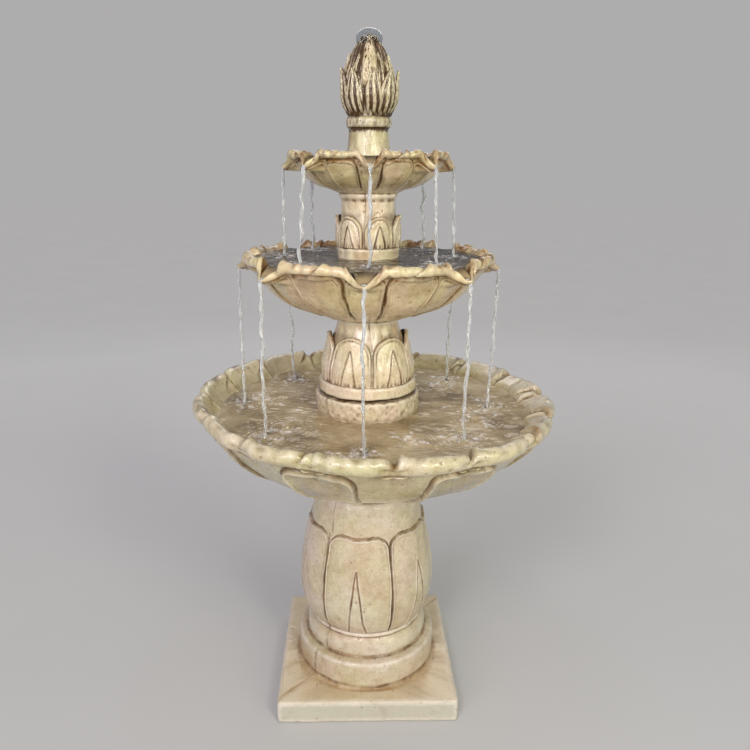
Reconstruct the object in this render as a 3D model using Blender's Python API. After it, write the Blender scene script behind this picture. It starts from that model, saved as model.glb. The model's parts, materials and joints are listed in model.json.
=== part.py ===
"""Three-tier garden fountain in cast stone, with its circulating pump and riser pipes.

Metres, +Z up. The origin is the middle of the plinth's underside, on the fountain's axis.
Azimuth 0 faces -Y and grows towards +X.
"""

import math

import bmesh
import bpy
from mathutils import Matrix, Vector

GAP = 0.0003

# Plinth and pedestal
PLINTH_SIDE = 0.470
PLINTH_HEIGHT = 0.060
STEP_RADIUS = 0.190
STEP_TOP = 0.141
TORUS_RADIUS = 0.1645
BULB_RADIUS = 0.184
BULB_BOTTOM = 0.211
PEDESTAL_NECK_RADIUS = 0.131
PEDESTAL_TOP = 0.5750
PEDESTAL_LEAVES = 6
PEDESTAL_BORE = 0.100
CORD_CHANNEL_WIDTH = 0.030
CORD_CHANNEL_HEIGHT = 0.016

# Lower basin
BASIN_RADIUS = 0.4570
BASIN_RIM_TOP = 0.8345
BASIN_SCALLOPS = 16
BASIN_FLOOR = 0.6280
DRAIN_RADIUS = 0.0180
DRAIN_OFFSET = 0.0750

# Pump cover
COVER_RADIUS = 0.1316
COVER_TOP = 0.8414
COVER_WALL = 0.014
COVER_BORE = 0.030
SHIM_HEIGHT = 0.0030

# Middle tier
COLLAR_RADIUS = 0.1210
COLLAR_TOP = 0.8764
MIDDLE_COLUMN_TOP = 1.0300
MIDDLE_BOWL_RADIUS = 0.3040
MIDDLE_RIM_TOP = 1.2000
MIDDLE_BOSS_TOP = 1.1200
BOWL_SPOUTS = 8
STOPPER_HOLE = 0.0260

# Upper tier
UPPER_COLUMN_RADIUS = 0.0745
UPPER_COLUMN_TOP = 1.3300
UPPER_BOWL_RADIUS = 0.1960
UPPER_RIM_TOP = 1.4320
UPPER_BOSS_TOP = 1.3850

# Finial
FINIAL_TOP = 1.6720
FINIAL_BUD_RADIUS = 0.0680

# Riser pipes
HOSE_OUTER = 0.0125
HOSE_INNER = 0.0096
PIPE_OUTER = 0.0092
PIPE_INNER = 0.0065
SOCKET_OUTER = 0.0130
SOCKET_INNER = 0.0096
SOCKET_LENGTH = 0.030
JET_OUTER = 0.0065
JET_INNER = 0.0045

# Pump
PUMP_WIDTH = 0.060
PUMP_HEIGHT = 0.058
FOOT_HEIGHT = 0.012
MOTOR_BACK = -0.082
MOTOR_FRONT = -0.0145
VOLUTE_HALF = 0.0142
CHAMBER_RADIUS = 0.022
ROTOR_RADIUS = 0.0105
SHAFT_RADIUS = 0.0017
COVER_PLATE = 0.0045
DIAL_THICKNESS = 0.0030
INLET_RADIUS = 0.0040
INLET_OFFSET = 0.0110
STRAINER_FRONT = 0.050
STRAINER_WALL = 0.0022

PUMP_BOTTOM = BASIN_FLOOR + FOOT_HEIGHT + 2 * GAP
PUMP_AXIS_Z = PUMP_BOTTOM + PUMP_HEIGHT / 2
PUMP_TOP = PUMP_BOTTOM + PUMP_HEIGHT

STONE = (0.72, 0.63, 0.46)
RUBBER = (0.03, 0.03, 0.03)
PLASTIC = (0.05, 0.055, 0.06)


def clear_scene():
    for existing in list(bpy.data.objects):
        bpy.data.objects.remove(existing, do_unlink=True)


def material(name, colour, roughness, metallic=0.0):
    made = bpy.data.materials.get(name)
    if made:
        return made
    made = bpy.data.materials.new(name)
    made.use_nodes = True
    shader = made.node_tree.nodes["Principled BSDF"]
    shader.inputs["Base Color"].default_value = (*colour, 1.0)
    shader.inputs["Roughness"].default_value = roughness
    shader.inputs["Metallic"].default_value = metallic
    return made


def as_object(name, mesh, finish, location=(0, 0, 0)):
    made = bpy.data.objects.new(name, mesh)
    made.location = location
    bpy.context.collection.objects.link(made)
    mesh.materials.append(finish)
    mesh.shade_smooth()
    mesh.set_sharp_from_angle(angle=math.radians(35))
    return made


def plain(azimuth, radius, height, weight):
    """The shape of a piece that is round all the way up."""
    return radius, height


def turned_mesh(name, section, segments, shape=plain, axis="Z"):
    """A closed body turned round an axis.

    section holds (radius, height) or (radius, height, weight) points, outer side going up and
    inner side coming down. It closes on itself, or starts and ends on the axis at radius 0.
    """
    bm = bmesh.new()
    rings = []
    for point in section:
        radius, height = point[:2]
        weight = point[2] if len(point) > 2 else 0.0
        if radius == 0:
            rings.append([bm.verts.new((0, 0, height))])
            continue
        ring = []
        for step in range(segments):
            azimuth = math.tau * step / segments
            r, z = shape(azimuth, radius, height, weight)
            ring.append(bm.verts.new((r * math.sin(azimuth), -r * math.cos(azimuth), z)))
        rings.append(ring)
    closed = section[0][0] != 0
    last = len(rings) if closed else len(rings) - 1
    for index in range(last):
        low = rings[index]
        high = rings[(index + 1) % len(rings)]
        for step in range(segments):
            after = (step + 1) % segments
            if len(low) == 1:
                bm.faces.new((low[0], high[after], high[step]))
            elif len(high) == 1:
                bm.faces.new((low[step], low[after], high[0]))
            else:
                bm.faces.new((low[step], low[after], high[after], high[step]))
    if axis == "X":
        bmesh.ops.transform(bm, matrix=Matrix.Rotation(math.pi / 2, 4, "Y"), verts=bm.verts)
    mesh = bpy.data.meshes.new(name)
    bm.to_mesh(mesh)
    bm.free()
    return mesh


def turned(name, section, segments, finish, shape=plain, seat=0.0):
    """A turned piece on the fountain's axis, with its origin at the height it is seated at."""
    local = [(point[0], point[1] - seat, *point[2:]) for point in section]

    def local_shape(azimuth, radius, height, weight):
        r, z = shape(azimuth, radius, height + seat, weight)
        return r, z - seat

    mesh = turned_mesh(name, local, segments, local_shape)
    return as_object(name, mesh, finish, (0, 0, seat))


def box_mesh(name, low, high):
    bm = bmesh.new()
    bmesh.ops.create_cube(bm, size=1.0)
    size = Vector(high) - Vector(low)
    middle = (Vector(high) + Vector(low)) / 2
    for vert in bm.verts:
        vert.co = Vector(a * b for a, b in zip(vert.co, size)) + middle
    mesh = bpy.data.meshes.new(name)
    bm.to_mesh(mesh)
    bm.free()
    return mesh


def rounded(made, width, segments=2):
    bevel = made.modifiers.new("Rounding", "BEVEL")
    bevel.width = width
    bevel.segments = segments
    bevel.limit_method = "ANGLE"
    return made


def guide(name, meshes, location=(0, 0, 0)):
    """A cutter made of one or more closed shapes that don't meet."""
    bm = bmesh.new()
    for mesh in meshes:
        bm.from_mesh(mesh)
    joined = bpy.data.meshes.new(name)
    bm.to_mesh(joined)
    bm.free()
    made = bpy.data.objects.new(name, joined)
    made.location = location
    bpy.context.collection.objects.link(made)
    made.hide_render = True
    made.display_type = "WIRE"
    return made


def boolean(made, cutter, operation="DIFFERENCE"):
    step = made.modifiers.new(operation.title(), "BOOLEAN")
    step.operation = operation
    step.solver = "EXACT"
    step.object = cutter


def rod_mesh(name, radius, low, high, segments=16, axis="Z"):
    return turned_mesh(name, [(0, low), (radius, low), (radius, high), (0, high)], segments, axis=axis)


def moved(mesh, offset):
    mesh.transform(Matrix.Translation(offset))
    return mesh


# ---------------------------------------------------------------- castings


def leafy(count, first, swell, groove):
    """Leaves round a column: each bulges in its middle and meets the next in a groove."""

    def shape(azimuth, radius, height, weight):
        turn = ((azimuth - first) * count / math.tau) % 1.0 - 0.5
        across = abs(2 * turn)
        lift = swell * (1 - across ** 2) - groove * max(0.0, across - 0.75) * 4
        return radius + weight * lift, height

    return shape


def square_radius(azimuth, half_side):
    return half_side / max(abs(math.sin(azimuth)), abs(math.cos(azimuth)))


def make_pedestal():
    """Square plinth, round step, torus, bead and lotus bulb in one hollow casting.

    The first three outline points are on the square plinth. The slab is open underneath, and
    a channel at the back of its underside is where the pump's cord would leave.
    """
    half = PLINTH_SIDE / 2
    leaves = leafy(PEDESTAL_LEAVES, math.radians(-38), 0.004, 0.003)

    def shape(azimuth, radius, height, weight):
        if weight < 0:
            return square_radius(azimuth, radius), height
        return leaves(azimuth, radius, height, weight)

    section = [
        (half, 0.0, -1),
        (half, PLINTH_HEIGHT - 0.006, -1),
        (half - 0.006, PLINTH_HEIGHT, -1),
        (STEP_RADIUS - 0.003, PLINTH_HEIGHT),
        (STEP_RADIUS, STEP_TOP - 0.018),
        (STEP_RADIUS - 0.013, STEP_TOP),
        (0.1525, STEP_TOP + 0.003),
        (TORUS_RADIUS, 0.167),
        (0.1500, 0.198),
        (0.1435, BULB_BOTTOM),
        (0.164, 0.236, 0.6),
        (0.179, 0.284, 1.0),
        (BULB_RADIUS - 0.003, 0.330, 1.0),
        (0.174, 0.385, 1.0),
        (0.160, 0.450, 0.7),
        (0.148, 0.497, 0.2),
        (PEDESTAL_NECK_RADIUS + 0.003, 0.550),
        (PEDESTAL_NECK_RADIUS, PEDESTAL_TOP),
        (PEDESTAL_BORE, PEDESTAL_TOP),
        (0.108, 0.470),
        (0.140, 0.330),
        (0.118, 0.215),
        (0.130, 0.120),
        (0.150, 0.0),
    ]
    finish = material("cast_stone_cream", STONE, 0.6)
    pedestal = turned("pedestal", section, 40, finish, shape)
    channel = guide(
        "cord_channel_cutter",
        [
            box_mesh(
                "channel",
                (-CORD_CHANNEL_WIDTH / 2, 0.120, -0.010),
                (CORD_CHANNEL_WIDTH / 2, half + 0.010, CORD_CHANNEL_HEIGHT),
            )
        ],
    )
    boolean(pedestal, channel)


def make_basin():
    """Wide scalloped bowl with a flat foot, a rolled rim and a drain hole under the pump cover."""

    first_notch = math.radians(5)

    def shape(azimuth, radius, height, weight):
        turn = ((azimuth - first_notch) * BASIN_SCALLOPS / math.tau) % 1.0
        notch = abs(2 * turn - 1) ** 3
        return radius - weight * 0.010 * notch, height - weight * 0.006 * notch

    foot = PEDESTAL_TOP + GAP
    section = [
        (0, foot),
        (0.128, foot),
        (0.142, foot + 0.012),
        (0.211, 0.620),
        (0.280, 0.655),
        (0.349, 0.695),
        (0.394, 0.735),
        (0.427, 0.775, 0.4),
        (0.449, 0.803, 0.8),
        (BASIN_RADIUS, 0.820, 1.0),
        (0.447, BASIN_RIM_TOP, 1.0),
        (0.428, 0.828, 1.0),
        (0.405, 0.795, 0.7),
        (0.368, 0.752),
        (0.310, 0.702),
        (0.235, 0.658),
        (0.165, BASIN_FLOOR),
        (0, BASIN_FLOOR),
    ]
    basin = turned("lower_basin", section, 64, material("cast_stone_cream", STONE, 0.6), shape, foot)
    drill = rod_mesh("drain_drill", DRAIN_RADIUS, foot - 0.02, BASIN_FLOOR + 0.02, 20)
    boolean(basin, guide("drain_cutter", [moved(drill, (0, DRAIN_OFFSET, 0))]))


def make_pump_cover():
    """Round housing that stands on the basin floor over the pump and carries the tiers above."""
    base = BASIN_FLOOR + GAP
    inner = COVER_RADIUS - COVER_WALL
    section = [
        (COVER_RADIUS, base),
        (COVER_RADIUS, COVER_TOP - 0.003),
        (COVER_RADIUS - 0.003, COVER_TOP),
        (COVER_BORE, COVER_TOP),
        (COVER_BORE, COVER_TOP - 0.024),
        (inner, COVER_TOP - 0.024),
        (inner, base),
    ]
    cover = turned("pump_cover", section, 40, material("cast_stone_cream", STONE, 0.6), seat=base)
    reach = COVER_RADIUS + 0.02
    notch = 0.020
    arches = []
    for turn in range(4):
        bar = box_mesh("notch", (inner - 0.02, -notch, base - 0.01), (reach, notch, base + 0.028))
        bar.transform(Matrix.Rotation(math.radians(90 * turn), 4, "Z"))
        arches.append(bar)
    boolean(cover, guide("inlet_notch_cutter", arches))


def make_shims():
    """Three small pads that level the tiers above on the pump cover and leave its joint open."""
    finish = material("shim_plastic", (0.5, 0.5, 0.46), 0.5)
    low = COVER_TOP + GAP
    high = COVER_TOP + SHIM_HEIGHT
    for index in range(3):
        pad = box_mesh("shim", (0.078, -0.011, low), (0.112, 0.011, high))
        pad.transform(Matrix.Rotation(math.radians(90 + 120 * index), 4, "Z"))
        as_object(f"leveling_shim_{index + 1}", pad, finish)


def make_middle_column():
    seat = COVER_TOP + SHIM_HEIGHT + GAP
    section = [
        (COLLAR_RADIUS + 0.002, seat),
        (COLLAR_RADIUS + 0.002, COLLAR_TOP - 0.004),
        (COLLAR_RADIUS - 0.003, COLLAR_TOP),
        (0.1130, 0.881, 0.6),
        (0.1160, 0.905, 1.0),
        (0.1100, 0.935, 1.0),
        (0.1020, 0.965, 1.0),
        (0.1000, 0.992, 0.4),
        (0.0900, 0.990),
        (0.0800, 1.005),
        (0.0767, 1.018),
        (0.0790, MIDDLE_COLUMN_TOP),
        (0.0420, MIDDLE_COLUMN_TOP),
        (0.0500, seat),
    ]
    shape = leafy(6, math.radians(6), 0.003, 0.003)
    turned("middle_column", section, 36, material("cast_stone_cream", STONE, 0.6), shape, seat)


def spouted(count, first, reach, drop):
    """Pouring spouts round a bowl: weight 1 is the rim, which runs out and down at each."""
    half_width = 0.30

    def shape(azimuth, radius, height, weight):
        turn = ((azimuth - first) * count / math.tau + 0.5) % 1.0 - 0.5
        near = max(0.0, 1 - abs(turn) / half_width)
        return radius + weight * reach * near ** 2, height - weight * drop * near

    return shape


def make_middle_bowl():
    seat = MIDDLE_COLUMN_TOP + GAP
    section = [
        (0.0780, seat),
        (0.1032, 1.040),
        (0.1444, 1.055),
        (0.1907, 1.070),
        (0.2320, 1.095),
        (0.2600, 1.126),
        (0.2860, 1.160, 0.3),
        (MIDDLE_BOWL_RADIUS, 1.186, 1.0),
        (0.2980, MIDDLE_RIM_TOP, 1.0),
        (0.2820, 1.192, 1.0),
        (0.2550, 1.155, 0.2),
        (0.2050, 1.115),
        (0.1300, 1.092),
        (0.0900, MIDDLE_BOSS_TOP),
        (STOPPER_HOLE, MIDDLE_BOSS_TOP),
        (STOPPER_HOLE, seat),
    ]
    shape = spouted(BOWL_SPOUTS, math.radians(-2), 0.020, 0.026)
    turned("middle_bowl", section, 48, material("cast_stone_cream", STONE, 0.6), shape, seat)


def make_upper_column():
    seat = MIDDLE_BOSS_TOP + GAP
    section = [
        (UPPER_COLUMN_RADIUS, seat),
        (UPPER_COLUMN_RADIUS, 1.198),
        (0.0720, 1.204, 0.4),
        (0.0775, 1.222, 1.0),
        (0.0770, 1.243, 1.0),
        (0.0735, 1.268, 1.0),
        (0.0715, 1.284, 0.5),
        (0.0660, 1.284),
        (0.0648, 1.300),
        (0.0655, 1.318),
        (0.0705, 1.322),
        (0.0705, UPPER_COLUMN_TOP),
        (0.0350, UPPER_COLUMN_TOP),
        (0.0380, seat),
    ]
    shape = leafy(6, math.radians(-8), 0.003, 0.002)
    turned("upper_column", section, 36, material("cast_stone_cream", STONE, 0.6), shape, seat)


def make_upper_bowl():
    seat = UPPER_COLUMN_TOP + GAP
    section = [
        (0.0690, seat),
        (0.1020, 1.343),
        (0.1330, 1.356),
        (0.1500, 1.370),
        (0.1680, 1.388),
        (0.1850, 1.404, 0.4),
        (UPPER_BOWL_RADIUS, 1.420, 1.0),
        (0.1900, UPPER_RIM_TOP, 1.0),
        (0.1790, 1.425, 1.0),
        (0.1600, 1.402, 0.2),
        (0.1200, 1.380),
        (0.0850, 1.374),
        (0.0650, UPPER_BOSS_TOP),
        (STOPPER_HOLE, UPPER_BOSS_TOP),
        (STOPPER_HOLE, seat),
    ]
    shape = spouted(BOWL_SPOUTS, math.radians(1), 0.016, 0.022)
    turned("upper_bowl", section, 48, material("cast_stone_cream", STONE, 0.6), shape, seat)


def make_finial():
    """Neck, bead ring and pointed bud of leaves, bored through for the jet tube."""
    seat = UPPER_BOSS_TOP + GAP
    bore = JET_OUTER + 0.0006
    section = [
        (0.0540, seat),
        (0.0500, 1.425),
        (0.0455, 1.455),
        (0.0455, 1.474),
        (0.0522, 1.480),
        (0.0522, 1.494),
        (0.0500, 1.500),
        (0.0600, 1.520, 1.0),
        (0.0650, 1.548, 1.0),
        (0.0640, 1.580, 1.0),
        (0.0640, 1.598, 1.0),
        (0.0540, 1.600, 0.6),
        (0.0440, 1.624, 0.6),
        (0.0340, 1.645, 0.4),
        (0.0135, FINIAL_TOP - 0.002),
        (bore + 0.0012, FINIAL_TOP),
        (bore, FINIAL_TOP),
        (bore, 1.436),
        (SOCKET_OUTER + 0.001, 1.430),
        (SOCKET_OUTER + 0.001, seat + 0.010),
        (STOPPER_HOLE + 0.002, seat + 0.007),
        (STOPPER_HOLE + 0.002, seat),
    ]
    swell = FINIAL_BUD_RADIUS - 0.065
    shape = leafy(8, 0.0, swell, 0.003)
    turned("finial", section, 32, material("cast_stone_cream", STONE, 0.6), shape, seat)


# ---------------------------------------------------------------- pipes and seals


def tube_section(outer, inner, low, high):
    return [(outer, low), (outer, high), (inner, high), (inner, low)]


def socketed_section(socket_low, pipe_high):
    """A pipe whose bottom end is belled out to slip over the pipe below."""
    shoulder = socket_low + SOCKET_LENGTH
    return [
        (SOCKET_OUTER, socket_low),
        (SOCKET_OUTER, shoulder + 0.003),
        (PIPE_OUTER, shoulder + 0.008),
        (PIPE_OUTER, pipe_high),
        (PIPE_INNER, pipe_high),
        (PIPE_INNER, shoulder + 0.003),
        (SOCKET_INNER, shoulder),
        (SOCKET_INNER, socket_low),
    ]


def stopper(name, top, seat):
    """Tapered rubber ring that seals a riser pipe in a bowl's middle hole."""
    section = [
        (STOPPER_HOLE - 0.002, top - 0.030),
        (STOPPER_HOLE - GAP, top),
        (STOPPER_HOLE - GAP, top + 0.004),
        (PIPE_OUTER + GAP, top + 0.004),
        (PIPE_OUTER + GAP, top - 0.030),
    ]
    turned(name, section, 24, material("black_rubber", RUBBER, 0.7), seat=seat)


def make_pipes():
    vinyl = material("clear_vinyl", (0.6, 0.62, 0.6), 0.25)
    plastic = material("grey_pvc", (0.45, 0.46, 0.47), 0.4)
    brass = material("brass", (0.71, 0.53, 0.24), 0.3, 1.0)
    steel = material("stainless_steel", (0.6, 0.6, 0.6), 0.3, 1.0)

    hose_low = PUMP_TOP + 0.0075
    turned(
        "pump_hose",
        tube_section(HOSE_OUTER, HOSE_INNER, hose_low, COVER_TOP - 0.006),
        20,
        vinyl,
        seat=hose_low,
    )
    clamp_low = hose_low + 0.006
    clamp = turned(
        "hose_clamp",
        tube_section(HOSE_OUTER + 0.0018, HOSE_OUTER + GAP, clamp_low, clamp_low + 0.009),
        20,
        steel,
        seat=clamp_low,
    )
    lug = box_mesh(
        "clamp_lug", (HOSE_OUTER + 0.001, -0.005, 0.0005), (HOSE_OUTER + 0.009, 0.005, 0.0085)
    )
    boolean(clamp, guide("clamp_lug_guide", [lug], (0, 0, clamp_low)), "UNION")

    middle_top = MIDDLE_BOSS_TOP + 0.030
    spigot_low = COVER_TOP - 0.030
    turned(
        "middle_riser_pipe",
        tube_section(PIPE_OUTER, PIPE_INNER, spigot_low, middle_top),
        20,
        plastic,
        seat=spigot_low,
    )
    upper_low = MIDDLE_BOSS_TOP + 0.006
    upper_top = UPPER_BOSS_TOP + 0.030
    turned(
        "upper_riser_pipe", socketed_section(upper_low, upper_top), 20, plastic, seat=upper_low
    )

    jet_low = UPPER_BOSS_TOP + 0.006
    shoulder = jet_low + SOCKET_LENGTH
    section = [
        (SOCKET_OUTER, jet_low),
        (SOCKET_OUTER, shoulder),
        (JET_OUTER, shoulder + 0.004),
        (JET_OUTER, FINIAL_TOP + 0.001),
        (JET_INNER, FINIAL_TOP + 0.001),
        (JET_INNER, shoulder - 0.001),
        (SOCKET_INNER, shoulder - 0.003),
        (SOCKET_INNER, jet_low),
    ]
    turned("jet_tube", section, 20, brass, seat=jet_low)

    stopper("middle_bowl_stopper", MIDDLE_BOSS_TOP, MIDDLE_BOSS_TOP)
    stopper("upper_bowl_stopper", UPPER_BOSS_TOP, UPPER_BOSS_TOP)

    plug = [
        (0.0035, BASIN_FLOOR - 0.040),
        (DRAIN_RADIUS - 0.0020, BASIN_FLOOR - 0.040),
        (DRAIN_RADIUS - 2 * GAP, BASIN_FLOOR + GAP),
        (DRAIN_RADIUS + 0.0040, BASIN_FLOOR + GAP),
        (DRAIN_RADIUS + 0.0040, BASIN_FLOOR + 0.005),
        (0.0035, BASIN_FLOOR + 0.005),
    ]
    drain = turned("cord_stopper", plug, 20, material("black_rubber", RUBBER, 0.7), seat=BASIN_FLOOR)
    drain.location.y = DRAIN_OFFSET


# ---------------------------------------------------------------- pump


def pump_piece(name, mesh, finish):
    """A pump part made about the rotor's axis, which runs along X through the origin."""
    return as_object(name, mesh, finish, (0, 0, PUMP_AXIS_Z))


def pump_guide(name, meshes):
    return guide(name, meshes, (0, 0, PUMP_AXIS_Z))


def make_motor():
    half = PUMP_WIDTH / 2
    tall = PUMP_HEIGHT / 2
    body = box_mesh("motor", (MOTOR_BACK, -half, -tall), (MOTOR_FRONT, half, tall))
    motor = pump_piece("motor_housing", body, material("black_plastic", PLASTIC, 0.45))
    rounded(motor, 0.006)
    bore = rod_mesh("rotor_bore", ROTOR_RADIUS + 0.001, -0.062, MOTOR_FRONT - 0.002, 20, "X")
    groove = rod_mesh("seal_groove", 0.0165, MOTOR_FRONT - 0.0032, MOTOR_FRONT + 0.01, 20, "X")
    boolean(motor, pump_guide("rotor_bore_cutter", [bore]))
    boolean(motor, pump_guide("seal_groove_cutter", [groove]))

    ring = tube_section(0.0162, 0.0128, MOTOR_FRONT - 0.0029, MOTOR_FRONT - GAP)
    pump_piece(
        "motor_seal", turned_mesh("seal", ring, 20, axis="X"), material("black_rubber", RUBBER, 0.7)
    )


def make_volute():
    half = PUMP_WIDTH / 2
    tall = PUMP_HEIGHT / 2
    body = box_mesh("volute", (-VOLUTE_HALF, -half, -tall), (VOLUTE_HALF, half, tall))
    volute = pump_piece("pump_chamber", body, material("black_plastic", PLASTIC, 0.45))
    chamber = rod_mesh("chamber", CHAMBER_RADIUS, -0.0095, VOLUTE_HALF + 0.01, 28, "X")
    neck = rod_mesh("neck", ROTOR_RADIUS + 0.001, -VOLUTE_HALF - 0.01, -0.005, 20, "X")
    outlet = rod_mesh("outlet", PIPE_INNER, 0.012, tall + 0.01, 16)
    for label, shape in (("chamber", chamber), ("neck", neck), ("outlet", outlet)):
        boolean(volute, pump_guide(f"{label}_cutter", [shape]))

    seat = PUMP_TOP + GAP
    nozzle = [
        (0.0130, seat),
        (0.0130, seat + 0.006),
        (0.0086, seat + 0.006),
        (0.0092, seat + 0.014),
        (0.0084, seat + 0.014),
        (0.0092, seat + 0.022),
        (0.0084, seat + 0.022),
        (0.0080, seat + 0.030),
        (PIPE_INNER, seat + 0.030),
        (PIPE_INNER, seat),
    ]
    turned("outlet_nozzle", nozzle, 20, material("black_plastic", PLASTIC, 0.45), seat=seat)


def make_rotor():
    """Magnet rotor and open impeller in one piece, turning on a fixed ceramic shaft."""
    bore = SHAFT_RADIUS + GAP
    section = [
        (ROTOR_RADIUS, -0.052),
        (ROTOR_RADIUS, -0.0090),
        (0.0185, -0.0085),
        (0.0185, -0.0070),
        (0.0060, -0.0065),
        (0.0060, 0.0090),
        (bore, 0.0090),
        (bore, -0.052),
    ]
    mesh = turned_mesh("rotor", section, 24, axis="X")
    impeller = pump_piece("impeller", mesh, material("white_plastic", (0.7, 0.7, 0.68), 0.4))
    blades = []
    for index in range(6):
        blade = box_mesh("blade", (-0.0078, -0.0008, 0.0040), (0.0060, 0.0008, 0.0180))
        blade.transform(Matrix.Rotation(math.tau * index / 6, 4, "X"))
        blades.append(blade)
    boolean(impeller, pump_guide("blade_guide", blades), "UNION")

    shaft = rod_mesh("shaft", SHAFT_RADIUS, -0.0580, 0.0170, 12, "X")
    pump_piece("impeller_shaft", shaft, material("ceramic", (0.85, 0.85, 0.82), 0.2))

    rubber = material("black_rubber", RUBBER, 0.7)
    rear = tube_section(ROTOR_RADIUS, SHAFT_RADIUS + GAP, -0.0615, -0.0530)
    pump_piece("rear_bushing", turned_mesh("rear", rear, 16, axis="X"), rubber)
    plate_low = VOLUTE_HALF + GAP
    front = tube_section(0.0034, SHAFT_RADIUS + GAP, plate_low, plate_low + COVER_PLATE)
    pump_piece("front_bushing", turned_mesh("front", front, 16, axis="X"), rubber)


def inlet_ring(count, radius, low, high):
    """Cutters for the ring of holes that water is drawn in through."""
    holes = []
    for index in range(count):
        angle = math.tau * index / count
        hole = rod_mesh("inlet", radius, low, high, 12, "X")
        offset = (0, INLET_OFFSET * math.sin(angle), INLET_OFFSET * math.cos(angle))
        holes.append(moved(hole, offset))
    return holes


def make_front():
    """Chamber cover, the flow dial that turns over its inlets, and the slotted strainer."""
    half = PUMP_WIDTH / 2
    tall = PUMP_HEIGHT / 2
    plastic = material("black_plastic", PLASTIC, 0.45)
    low = VOLUTE_HALF + GAP
    high = low + COVER_PLATE
    plate = pump_piece(
        "chamber_cover", box_mesh("plate", (low, -half, -tall), (high, half, tall)), plastic
    )
    pocket = rod_mesh("pocket", 0.0037, low - 0.01, high + 0.01, 12, "X")
    inlets = inlet_ring(3, INLET_RADIUS, low - 0.01, high + 0.01)
    boolean(plate, pump_guide("inlet_cutter", [pocket, *inlets]))

    dial_low = high + GAP
    dial_high = dial_low + DIAL_THICKNESS
    section = [(0, dial_low), (0.0200, dial_low), (0.0200, dial_high), (0, dial_high)]
    dial = pump_piece(
        "flow_dial",
        turned_mesh("dial", section, 24, axis="X"),
        material("blue_plastic", (0.05, 0.16, 0.4), 0.4),
    )
    windows = inlet_ring(3, INLET_RADIUS + 0.0003, dial_low - 0.01, dial_high + 0.01)
    boolean(dial, pump_guide("window_cutter", windows))
    grip = box_mesh("grip", (dial_high - 0.001, -0.0015, -0.0180), (dial_high + 0.005, 0.0015, 0.0040))
    boolean(dial, pump_guide("grip_guide", [grip]), "UNION")

    cage = pump_piece(
        "strainer", box_mesh("cage", (high + GAP, -half, -tall), (STRAINER_FRONT, half, tall)), plastic
    )
    wall = STRAINER_WALL
    hollow = box_mesh(
        "hollow", (high - 0.01, -half + wall, -tall + wall), (STRAINER_FRONT - wall, half - wall, tall - wall)
    )
    boolean(cage, pump_guide("hollow_cutter", [hollow]))
    slots = []
    for index in range(5):
        middle = (index - 2) * 0.010
        slots.append(
            box_mesh("slot", (0.040, middle - 0.002, -0.020), (STRAINER_FRONT + 0.01, middle + 0.002, 0.020))
        )
    boolean(cage, pump_guide("slot_cutter", slots))


def make_fittings():
    rubber = material("black_rubber", RUBBER, 0.7)
    cup = [
        (0, BASIN_FLOOR + 0.004),
        (0.0105, BASIN_FLOOR + GAP),
        (0.0110, BASIN_FLOOR + 0.0012),
        (0.0050, BASIN_FLOOR + 0.0065),
        (0.0050, PUMP_BOTTOM - GAP),
        (0, PUMP_BOTTOM - GAP),
    ]
    for end, x in (("rear", -0.068), ("front", 0.0)):
        for side, y in (("left", -0.018), ("right", 0.018)):
            foot = turned(f"suction_foot_{end}_{side}", cup, 16, rubber, seat=BASIN_FLOOR)
            foot.location.x = x
            foot.location.y = y

    gland = [
        (0.0090, MOTOR_BACK - 0.018),
        (0.0090, MOTOR_BACK - GAP),
        (0.0034, MOTOR_BACK - GAP),
        (0.0034, MOTOR_BACK - 0.018),
    ]
    pump_piece(
        "cable_gland", turned_mesh("gland", gland, 12, axis="X"), material("black_plastic", PLASTIC, 0.45)
    )


clear_scene()
make_pedestal()
make_basin()
make_pump_cover()
make_shims()
make_middle_column()
make_middle_bowl()
make_upper_column()
make_upper_bowl()
make_finial()
make_pipes()
make_motor()
make_volute()
make_rotor()
make_front()
make_fittings()
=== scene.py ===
"""Three-tier cast stone fountain with running water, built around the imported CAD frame.

Metres, +Z up, on the fountain's axis. Azimuth 0 faces -Y and grows towards +X.
"""

import json
import math

import bmesh
import bpy
import numpy as np
from mathutils import Matrix, Vector


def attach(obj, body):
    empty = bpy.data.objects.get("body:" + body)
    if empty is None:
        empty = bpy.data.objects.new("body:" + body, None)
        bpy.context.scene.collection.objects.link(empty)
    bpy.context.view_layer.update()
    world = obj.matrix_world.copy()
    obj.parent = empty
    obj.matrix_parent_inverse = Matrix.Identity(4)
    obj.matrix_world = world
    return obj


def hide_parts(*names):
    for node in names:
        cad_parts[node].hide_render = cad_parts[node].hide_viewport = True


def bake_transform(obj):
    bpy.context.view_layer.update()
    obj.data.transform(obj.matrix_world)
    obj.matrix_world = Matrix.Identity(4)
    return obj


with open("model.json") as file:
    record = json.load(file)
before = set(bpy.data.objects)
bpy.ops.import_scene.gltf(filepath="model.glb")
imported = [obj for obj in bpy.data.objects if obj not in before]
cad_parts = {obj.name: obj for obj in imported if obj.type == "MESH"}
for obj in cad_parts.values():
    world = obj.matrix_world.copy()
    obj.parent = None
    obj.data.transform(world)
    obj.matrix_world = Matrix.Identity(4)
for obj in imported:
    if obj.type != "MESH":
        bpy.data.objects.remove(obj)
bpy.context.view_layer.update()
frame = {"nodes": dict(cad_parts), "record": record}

TAU = math.tau
MM = 0.001

FLOOR_RADIUS = 30.0
FLOOR_GAP = 0.0005
LIT_HEIGHT = 0.85

SPOUTS = 8  # on each bowl
# azimuths of the first spout, petal or leaf of each casting
MIDDLE_FIRST = math.radians(-1.5)
UPPER_FIRST = math.radians(1)
BASIN_FIRST = math.radians(5)
PEDESTAL_FIRST = math.radians(-8)

PLINTH_TURN = math.radians(1.3)
PLINTH_CORNER = 0.009  # radius of the slab's upright corners
# how far the basin sits to the right of the axis, and its slope towards that side
BASIN_OFFSET = 0.017
BASIN_TILT = 0.019
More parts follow.
